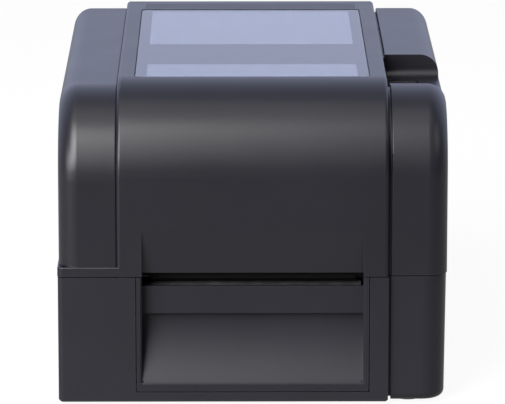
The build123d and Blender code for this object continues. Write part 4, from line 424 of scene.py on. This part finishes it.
def newGrowth(name, inputs):
    # an empty tree with its named inputs
    tree = bpy.data.node_groups.new(name, "GeometryNodeTree")
    for inputName, kind in inputs.items():
        tree.interface.new_socket(inputName, in_out="INPUT", socket_type="NodeSocket" + kind)
    tree.interface.new_socket("Geometry", in_out="OUTPUT", socket_type="NodeSocketGeometry")
    return tree, tree.nodes.new("NodeGroupInput").outputs


def setCopies(tree, points, shape):
    # one copy of the shape on each point
    place = tree.nodes.new("GeometryNodeInstanceOnPoints")
    tree.links.new(points, place.inputs["Points"])
    tree.links.new(shape, place.inputs["Instance"])
    return place


def finishGrowth(tree, given, place, moves):
    # makes the copies real, moves them together, gives them their finish and hands them out
    realize = tree.nodes.new("GeometryNodeRealizeInstances")
    stand = tree.nodes.new("GeometryNodeTransform")
    finish = tree.nodes.new("GeometryNodeSetMaterial")
    result = tree.nodes.new("NodeGroupOutput")
    tree.links.new(place.outputs["Instances"], realize.inputs["Geometry"])
    tree.links.new(realize.outputs["Geometry"], stand.inputs["Geometry"])
    for socketName, inputName in moves.items():
        tree.links.new(given[inputName], stand.inputs[socketName])
    tree.links.new(stand.outputs["Geometry"], finish.inputs["Geometry"])
    tree.links.new(given["Finish"], finish.inputs["Material"])
    tree.links.new(finish.outputs["Geometry"], result.inputs["Geometry"])


def rodRowTree():
    # a row of equal rods or studs: a line of points with a cylinder on each
    tree, given = newGrowth("rodRow", {
        "Count": "Int", "Sides": "Int", "Radius": "Float", "Length": "Float",
        "Start": "Vector", "Step": "Vector", "Turn": "Vector", "Shape": "Vector", "Finish": "Material",
    })
    line = tree.nodes.new("GeometryNodeMeshLine")
    line.mode = "OFFSET"
    rod = tree.nodes.new("GeometryNodeMeshCylinder")
    tree.links.new(given["Count"], line.inputs["Count"])
    tree.links.new(given["Start"], line.inputs["Start Location"])
    tree.links.new(given["Step"], line.inputs["Offset"])
    tree.links.new(given["Sides"], rod.inputs["Vertices"])
    tree.links.new(given["Radius"], rod.inputs["Radius"])
    tree.links.new(given["Length"], rod.inputs["Depth"])
    place = setCopies(tree, line.outputs["Mesh"], rod.outputs["Mesh"])
    tree.links.new(given["Turn"], place.inputs["Rotation"])
    tree.links.new(given["Shape"], place.inputs["Scale"])
    finishGrowth(tree, given, place, {})
    return tree


def rodRingTree():
    # rods that stand round a ring, along the ring's axis
    tree, given = newGrowth("rodRing", {
        "Count": "Int", "Sides": "Int", "Ring Radius": "Float", "Radius": "Float", "Length": "Float",
        "Centre": "Vector", "Turn": "Vector", "Finish": "Material",
    })
    ring = tree.nodes.new("GeometryNodeMeshCircle")
    rod = tree.nodes.new("GeometryNodeMeshCylinder")
    tree.links.new(given["Count"], ring.inputs["Vertices"])
    tree.links.new(given["Ring Radius"], ring.inputs["Radius"])
    tree.links.new(given["Sides"], rod.inputs["Vertices"])
    tree.links.new(given["Radius"], rod.inputs["Radius"])
    tree.links.new(given["Length"], rod.inputs["Depth"])
    place = setCopies(tree, ring.outputs["Mesh"], rod.outputs["Mesh"])
    finishGrowth(tree, given, place, {"Translation": "Centre", "Rotation": "Turn"})
    return tree


scatterSetup = {"density": 60000, "turn": math.pi / 2}


def boardScatterTree():
    # small soldered parts spread over a flat patch of board, some of them a quarter turned
    tree, given = newGrowth("boardScatter", {
        "Width": "Float", "Depth": "Float", "Spacing": "Float", "Centre": "Vector",
        "Part Size": "Vector", "Seed": "Int", "Finish": "Material",
    })
    patch = tree.nodes.new("GeometryNodeMeshGrid")
    scatter = tree.nodes.new("GeometryNodeDistributePointsOnFaces")
    scatter.distribute_method = "POISSON"
    scatter.inputs["Density Max"].default_value = scatterSetup["density"]
    part = tree.nodes.new("GeometryNodeMeshCube")
    pick = tree.nodes.new("FunctionNodeRandomValue")
    pick.data_type = "INT"
    for socket in pick.inputs:
        if socket.type == "INT" and socket.name in ("Min", "Max"):
            socket.default_value = 0 if socket.name == "Min" else 1
    picked = [socket for socket in pick.outputs if socket.type == "INT"][0]
    angle = tree.nodes.new("ShaderNodeMath")
    angle.operation = "MULTIPLY"
    angle.inputs[1].default_value = scatterSetup["turn"]
    rotation = tree.nodes.new("ShaderNodeCombineXYZ")
    tree.links.new(given["Width"], patch.inputs["Size X"])
    tree.links.new(given["Depth"], patch.inputs["Size Y"])
    tree.links.new(patch.outputs["Mesh"], scatter.inputs["Mesh"])
    tree.links.new(given["Spacing"], scatter.inputs["Distance Min"])
    tree.links.new(given["Seed"], scatter.inputs["Seed"])
    tree.links.new(given["Part Size"], part.inputs["Size"])
    place = setCopies(tree, scatter.outputs["Points"], part.outputs["Mesh"])
    tree.links.new(picked, angle.inputs[0])
    tree.links.new(angle.outputs[0], rotation.inputs["Z"])
    tree.links.new(rotation.outputs["Vector"], place.inputs["Rotation"])
    finishGrowth(tree, given, place, {"Translation": "Centre"})
    return tree


def grow(name, tree, body, recordSlot, **values):
    # runs a tree on an empty carrier and keeps the result as one plain mesh on a body
    carrier = bpy.data.objects.new(name + "Carrier", bpy.data.meshes.new(name + "Carrier"))
    bpy.context.collection.objects.link(carrier)
    modifier = carrier.modifiers.new("grow", "NODES")
    modifier.node_group = tree
    for item in tree.interface.items_tree:
        key = item.name[0].lower() + item.name[1:].replace(" ", "")
        if item.in_out == "INPUT" and key in values:
            modifier[item.identifier] = values[key]
    bpy.context.view_layer.update()
    evaluated = carrier.evaluated_get(bpy.context.evaluated_depsgraph_get())
    mesh = bpy.data.meshes.new_from_object(evaluated)
    carrier.modifiers.remove(modifier)
    bpy.data.objects.remove(carrier)
    piece = bpy.data.objects.new(name, mesh)
    bpy.context.collection.objects.link(piece)
    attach(piece, body)


def middle(low, high, axis):
    return (low[axis] + high[axis]) / 2


def outerFace(low, high, side):
    # the x of a box's left face for side -1, and of its right face for side 1
    return high[0] if side > 0 else low[0]


rodRow = rodRowTree()
rodRing = rodRingTree()
boardScatter = boardScatterTree()
alongX = (0.0, math.pi / 2, 0.0)
alongY = (math.pi / 2, 0.0, 0.0)
upright = (0.0, 0.0, 0.0)
plainShape = (1.0, 1.0, 1.0)

# raised grip ribs on both release tabs
gripRibs = {
    "count": 5, "sides": 16, "pitch": 0.0040, "radius": 0.0011, "length": 0.0100,
    "sunk": 0.00095, "belowTop": 0.0096,
}
for side, tabName in ((-1, "left"), (1, "right")):
    low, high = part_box("release_tab_" + tabName)
    ribX = outerFace(low, high, side) - side * gripRibs["sunk"]
    firstRib = middle(low, high, 1) - (gripRibs["count"] - 1) / 2 * gripRibs["pitch"]
    grow(
        tabName + "TabRibs", rodRow, "release_tab_" + tabName, "key_plastic", count=gripRibs["count"],
        sides=gripRibs["sides"], radius=gripRibs["radius"], length=gripRibs["length"],
        start=(ribX, firstRib, high[2] - gripRibs["belowTop"]),
        step=(0.0, gripRibs["pitch"], 0.0), turn=upright, shape=plainShape, finish=made["keyPlastic"],
    )

# gold contacts in the network socket
contacts = {
    "count": 8, "sides": 8, "pitch": 0.00102, "radius": 0.00022, "length": 0.0085,
    "behindMouth": 0.0061, "belowTop": 0.0038,
}
low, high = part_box("network_port")
firstContact = middle(low, high, 0) - (contacts["count"] - 1) / 2 * contacts["pitch"]
grow(
    "networkContacts", rodRow, "case", "port_metal", count=contacts["count"], sides=contacts["sides"],
    radius=contacts["radius"], length=contacts["length"],
    start=(firstContact, high[1] - contacts["behindMouth"], high[2] - contacts["belowTop"]),
    step=(contacts["pitch"], 0.0, 0.0), turn=alongY, shape=plainShape, finish=made["gold"],
)

# hexagon nuts at both ends of the serial socket
hexNuts = {
    "count": 2, "sides": 6, "spacing": 0.0251, "radius": 0.0022, "length": 0.0052, "behindMouth": 0.0028,
}
low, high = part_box("serial_port")
firstNut = middle(low, high, 0) - hexNuts["spacing"] / 2
grow(
    "serialNuts", rodRow, "case", "port_metal", count=hexNuts["count"], sides=hexNuts["sides"],
    radius=hexNuts["radius"], length=hexNuts["length"],
    start=(firstNut, high[1] - hexNuts["behindMouth"], middle(low, high, 2)),
    step=(hexNuts["spacing"], 0.0, 0.0), turn=alongY, shape=plainShape, finish=made["portShell"],
)

# heater line and sealed driver row on the thermal head's underside
headStrips = {
    "heaterLine": {
        "coat": "heaterGlaze", "length": 0.104, "radius": 0.0005, "sides": 16, "squash": 0.35,
        "behindFront": 0.0085,
    },
    "driverSeal": {
        "coat": "sealResin", "length": 0.096, "radius": 0.0016, "sides": 20, "squash": 0.30,
        "behindFront": 0.0175,
    },
}
low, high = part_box("thermal_head")
for stripName, strip in headStrips.items():
    grow(
        stripName, rodRow, "print_head", "head_ceramic", count=1, sides=strip["sides"],
        radius=strip["radius"], length=strip["length"],
        start=(middle(low, high, 0), low[1] + strip["behindFront"], low[2]), step=(0.0, 0.0, 0.0),
        turn=alongX, shape=(strip["squash"], 1.0, 1.0), finish=made[strip["coat"]],
    )

# grip ribs round the roll holders' hubs
hubRibs = {
    "count": 12, "sides": 12, "ring": 0.0122, "radius": 0.0005, "length": 0.0058,
    "insideFace": 0.0072, "belowTop": 0.0170,
}
for side, holderName in ((-1, "left_holder"), (1, "right_holder")):
    low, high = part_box(holderName)
    hubX = outerFace(low, high, side) - side * hubRibs["insideFace"]
    grow(
        holderName + "Ribs", rodRing, holderName, "holder_plastic", count=hubRibs["count"],
        sides=hubRibs["sides"], ringRadius=hubRibs["ring"], radius=hubRibs["radius"],
        length=hubRibs["length"], centre=(hubX, middle(low, high, 1), high[2] - hubRibs["belowTop"]),
        turn=alongX, finish=made["holderPlastic"],
    )

# legs along the front and the rear of each chip on the main board
chips = {
    "mainChip": {"x": 0.010, "half": 0.009, "legs": 12},
    "memoryChip": {"x": -0.014, "half": 0.005, "legs": 6},
    "driverChip": {"x": 0.036, "half": 0.004, "legs": 5},
}
chipLegs = {
    "sides": 6, "radius": 0.00022, "length": 0.0016, "pitch": 0.0013, "y": 0.040, "aboveBoard": 0.0003,
}
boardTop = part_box("main_board")[1][2]
for chipName, chip in chips.items():
    firstLeg = chip["x"] - (chip["legs"] - 1) * chipLegs["pitch"] / 2
    for end, endName in ((-1, "Front"), (1, "Rear")):
        legY = chipLegs["y"] + end * (chip["half"] + chipLegs["length"] / 2)
        grow(
            chipName + endName + "Legs", rodRow, "case", "port_metal", count=chip["legs"],
            sides=chipLegs["sides"], radius=chipLegs["radius"], length=chipLegs["length"],
            start=(firstLeg, legY, boardTop + chipLegs["aboveBoard"]),
            step=(chipLegs["pitch"], 0.0, 0.0), turn=alongY, shape=plainShape, finish=made["solder"],
        )

# small soldered parts on two patches of the main board
smallParts = {"size": (0.0020, 0.0012, 0.0010), "spacing": 0.0042, "aboveBoard": 0.0005}
patches = {
    "frontPatch": {"x": -0.030, "y": 0.064, "width": 0.034, "depth": 0.026, "seed": 3},
    "rearPatch": {"x": 0.006, "y": 0.078, "width": 0.030, "depth": 0.040, "seed": 8},
}
for patchName, patch in patches.items():
    grow(
        patchName + "Parts", boardScatter, "case", "chip_black", width=patch["width"], depth=patch["depth"],
        spacing=smallParts["spacing"], centre=(patch["x"], patch["y"], boardTop + smallParts["aboveBoard"]),
        partSize=smallParts["size"], seed=patch["seed"], finish=made["chipCeramic"],
    )
print("small detail grown")

# floor: the eye sees it as white, with the object's shadow left in it, and surfaces
# mirror it as a white table near the object that turns dim beyond its front edge
floorSetup = {
    "half": 6.0,
    "tone": 0.08,
    "rough": 0.9,
    "seenLift": 0.94,
    "mirrorLift": 0.50,
    "tableEdge": -0.60,
    "tableFull": -0.28,
}
floorMesh = bpy.data.meshes.new("studioFloor")
half = floorSetup["half"]
corners = [(-half, -half, 0), (half, -half, 0), (half, half, 0), (-half, half, 0)]
floorMesh.from_pydata(corners, [], [(0, 1, 2, 3)])
studioFloor = bpy.data.objects.new("studioFloor", floorMesh)
bpy.context.collection.objects.link(studioFloor)
floorMaterial, floorTree, floorShader = newMaterial("studioFloor")
floorShader.inputs["Base Color"].default_value = (floorSetup["tone"],) * 3 + (1,)
floorShader.inputs["Roughness"].default_value = floorSetup["rough"]
floorShader.inputs["Specular IOR Level"].default_value = 0.0
floorPath = floorTree.nodes.new("ShaderNodeLightPath")
floorSeen = spread(floorTree, floorPath.outputs["Is Camera Ray"], 0.0, floorSetup["seenLift"], 0.0, 1.0)
floorMirrored = addMath(
    floorTree, "MAXIMUM", floorPath.outputs["Is Glossy Ray"], floorPath.outputs["Is Transmission Ray"]
)
floorPlace = floorTree.nodes.new("ShaderNodeTexCoord")
floorAxes = floorTree.nodes.new("ShaderNodeSeparateXYZ")
floorTree.links.new(floorPlace.outputs["Object"], floorAxes.inputs["Vector"])
tableGlow = spread(
    floorTree, floorAxes.outputs["Y"], 0.0, floorSetup["mirrorLift"],
    floorSetup["tableEdge"], floorSetup["tableFull"],
)
mirrorGlow = addMath(floorTree, "MULTIPLY", floorMirrored, tableGlow)
floorGlow = floorTree.nodes.new("ShaderNodeEmission")
floorTree.links.new(addMath(floorTree, "ADD", floorSeen, mirrorGlow), floorGlow.inputs["Strength"])
floorSum = floorTree.nodes.new("ShaderNodeAddShader")
floorTree.links.new(floorShader.outputs["BSDF"], floorSum.inputs[0])
floorTree.links.new(floorGlow.outputs["Emission"], floorSum.inputs[1])
floorTree.links.new(floorSum.outputs["Shader"], floorTree.nodes["Material Output"].inputs["Surface"])
floorMesh.materials.append(floorMaterial)
print("floor laid")

# world: white to the eye, a little fill on the object, and for what the surfaces
# mirror a pale cool backdrop behind, a dim room in front and a dimmer ceiling
worldSetup = {
    "seen": (1, 1, 1),
    "fill": (0.95, 0.97, 1.0),
    "fillStrength": 0.04,
    "mirroredFront": (0.07, 0.07, 0.085),
    "mirroredRear": (0.77, 0.845, 1.16),
    "frontToRear": (-0.1, 0.4),
    "ceiling": 0.35,
    "ceilingRange": (0.65, 0.92),
}
world = bpy.data.worlds.new("studioWorld")
bpy.context.scene.world = world
world.use_nodes = True
worldTree = world.node_tree
worldTree.nodes.clear()
worldOutput = worldTree.nodes.new("ShaderNodeOutputWorld")
fill = worldTree.nodes.new("ShaderNodeBackground")
fill.inputs["Color"].default_value = (*worldSetup["fill"], 1)
fill.inputs["Strength"].default_value = worldSetup["fillStrength"]
seen = worldTree.nodes.new("ShaderNodeBackground")
seen.inputs["Color"].default_value = (*worldSetup["seen"], 1)
seen.inputs["Strength"].default_value = 1.0
mirrored = worldTree.nodes.new("ShaderNodeBackground")
direction = worldTree.nodes.new("ShaderNodeTexCoord")
axes = worldTree.nodes.new("ShaderNodeSeparateXYZ")
worldTree.links.new(direction.outputs["Generated"], axes.inputs["Vector"])
overhead = spread(worldTree, axes.outputs["Z"], 1.0, worldSetup["ceiling"], *worldSetup["ceilingRange"])
worldTree.links.new(overhead, mirrored.inputs["Strength"])
rearward = spread(worldTree, axes.outputs["Y"], 0.0, 1.0, *worldSetup["frontToRear"])
backdrop = blendColours(worldTree, rearward, worldSetup["mirroredFront"], worldSetup["mirroredRear"])
worldTree.links.new(backdrop, mirrored.inputs["Color"])
path = worldTree.nodes.new("ShaderNodeLightPath")
bounced = addMath(worldTree, "MAXIMUM", path.outputs["Is Glossy Ray"], path.outputs["Is Transmission Ray"])
litOrMirrored = worldTree.nodes.new("ShaderNodeMixShader")
worldTree.links.new(bounced, litOrMirrored.inputs["Fac"])
worldTree.links.new(fill.outputs[0], litOrMirrored.inputs[1])
worldTree.links.new(mirrored.outputs[0], litOrMirrored.inputs[2])
seenOrNot = worldTree.nodes.new("ShaderNodeMixShader")
worldTree.links.new(path.outputs["Is Camera Ray"], seenOrNot.inputs["Fac"])
worldTree.links.new(litOrMirrored.outputs[0], seenOrNot.inputs[1])
worldTree.links.new(seen.outputs[0], seenOrNot.inputs[2])
worldTree.links.new(seenOrNot.outputs[0], worldOutput.inputs["Surface"])
print("world set")

# soft lamps, all turned to one point of the object
lampAim = (0, -0.05, 0.09)
lamps = {
    "keyLamp": {"at": (-0.80, -1.62, 1.32), "size": (1.05, 2.1), "power": 72},
    "stripLamp": {"at": (-0.66, -1.72, 1.22), "size": (0.20, 1.3), "power": 8},
    "sideLamp": {"at": (-1.75, -1.60, 0.55), "size": (1.2, 0.8), "power": 22},
    "fillLamp": {"at": (1.4, -0.9, 1.2), "size": (0.9, 0.9), "power": 4},
    "topLamp": {"at": (-0.2, -0.45, 2.1), "size": (1.6, 1.2), "power": 8},
}
for lampName, setup in lamps.items():
    lampData = bpy.data.lights.new(lampName, "AREA")
    lampData.shape = "RECTANGLE"
    lampData.size, lampData.size_y = setup["size"]
    lampData.energy = setup["power"]
    lamp = bpy.data.objects.new(lampName, lampData)
    lamp.location = setup["at"]
    aim = Vector(lampAim) - Vector(setup["at"])
    lamp.rotation_euler = aim.to_track_quat("-Z", "Y").to_euler()
    bpy.context.collection.objects.link(lamp)
print("lamps hung")
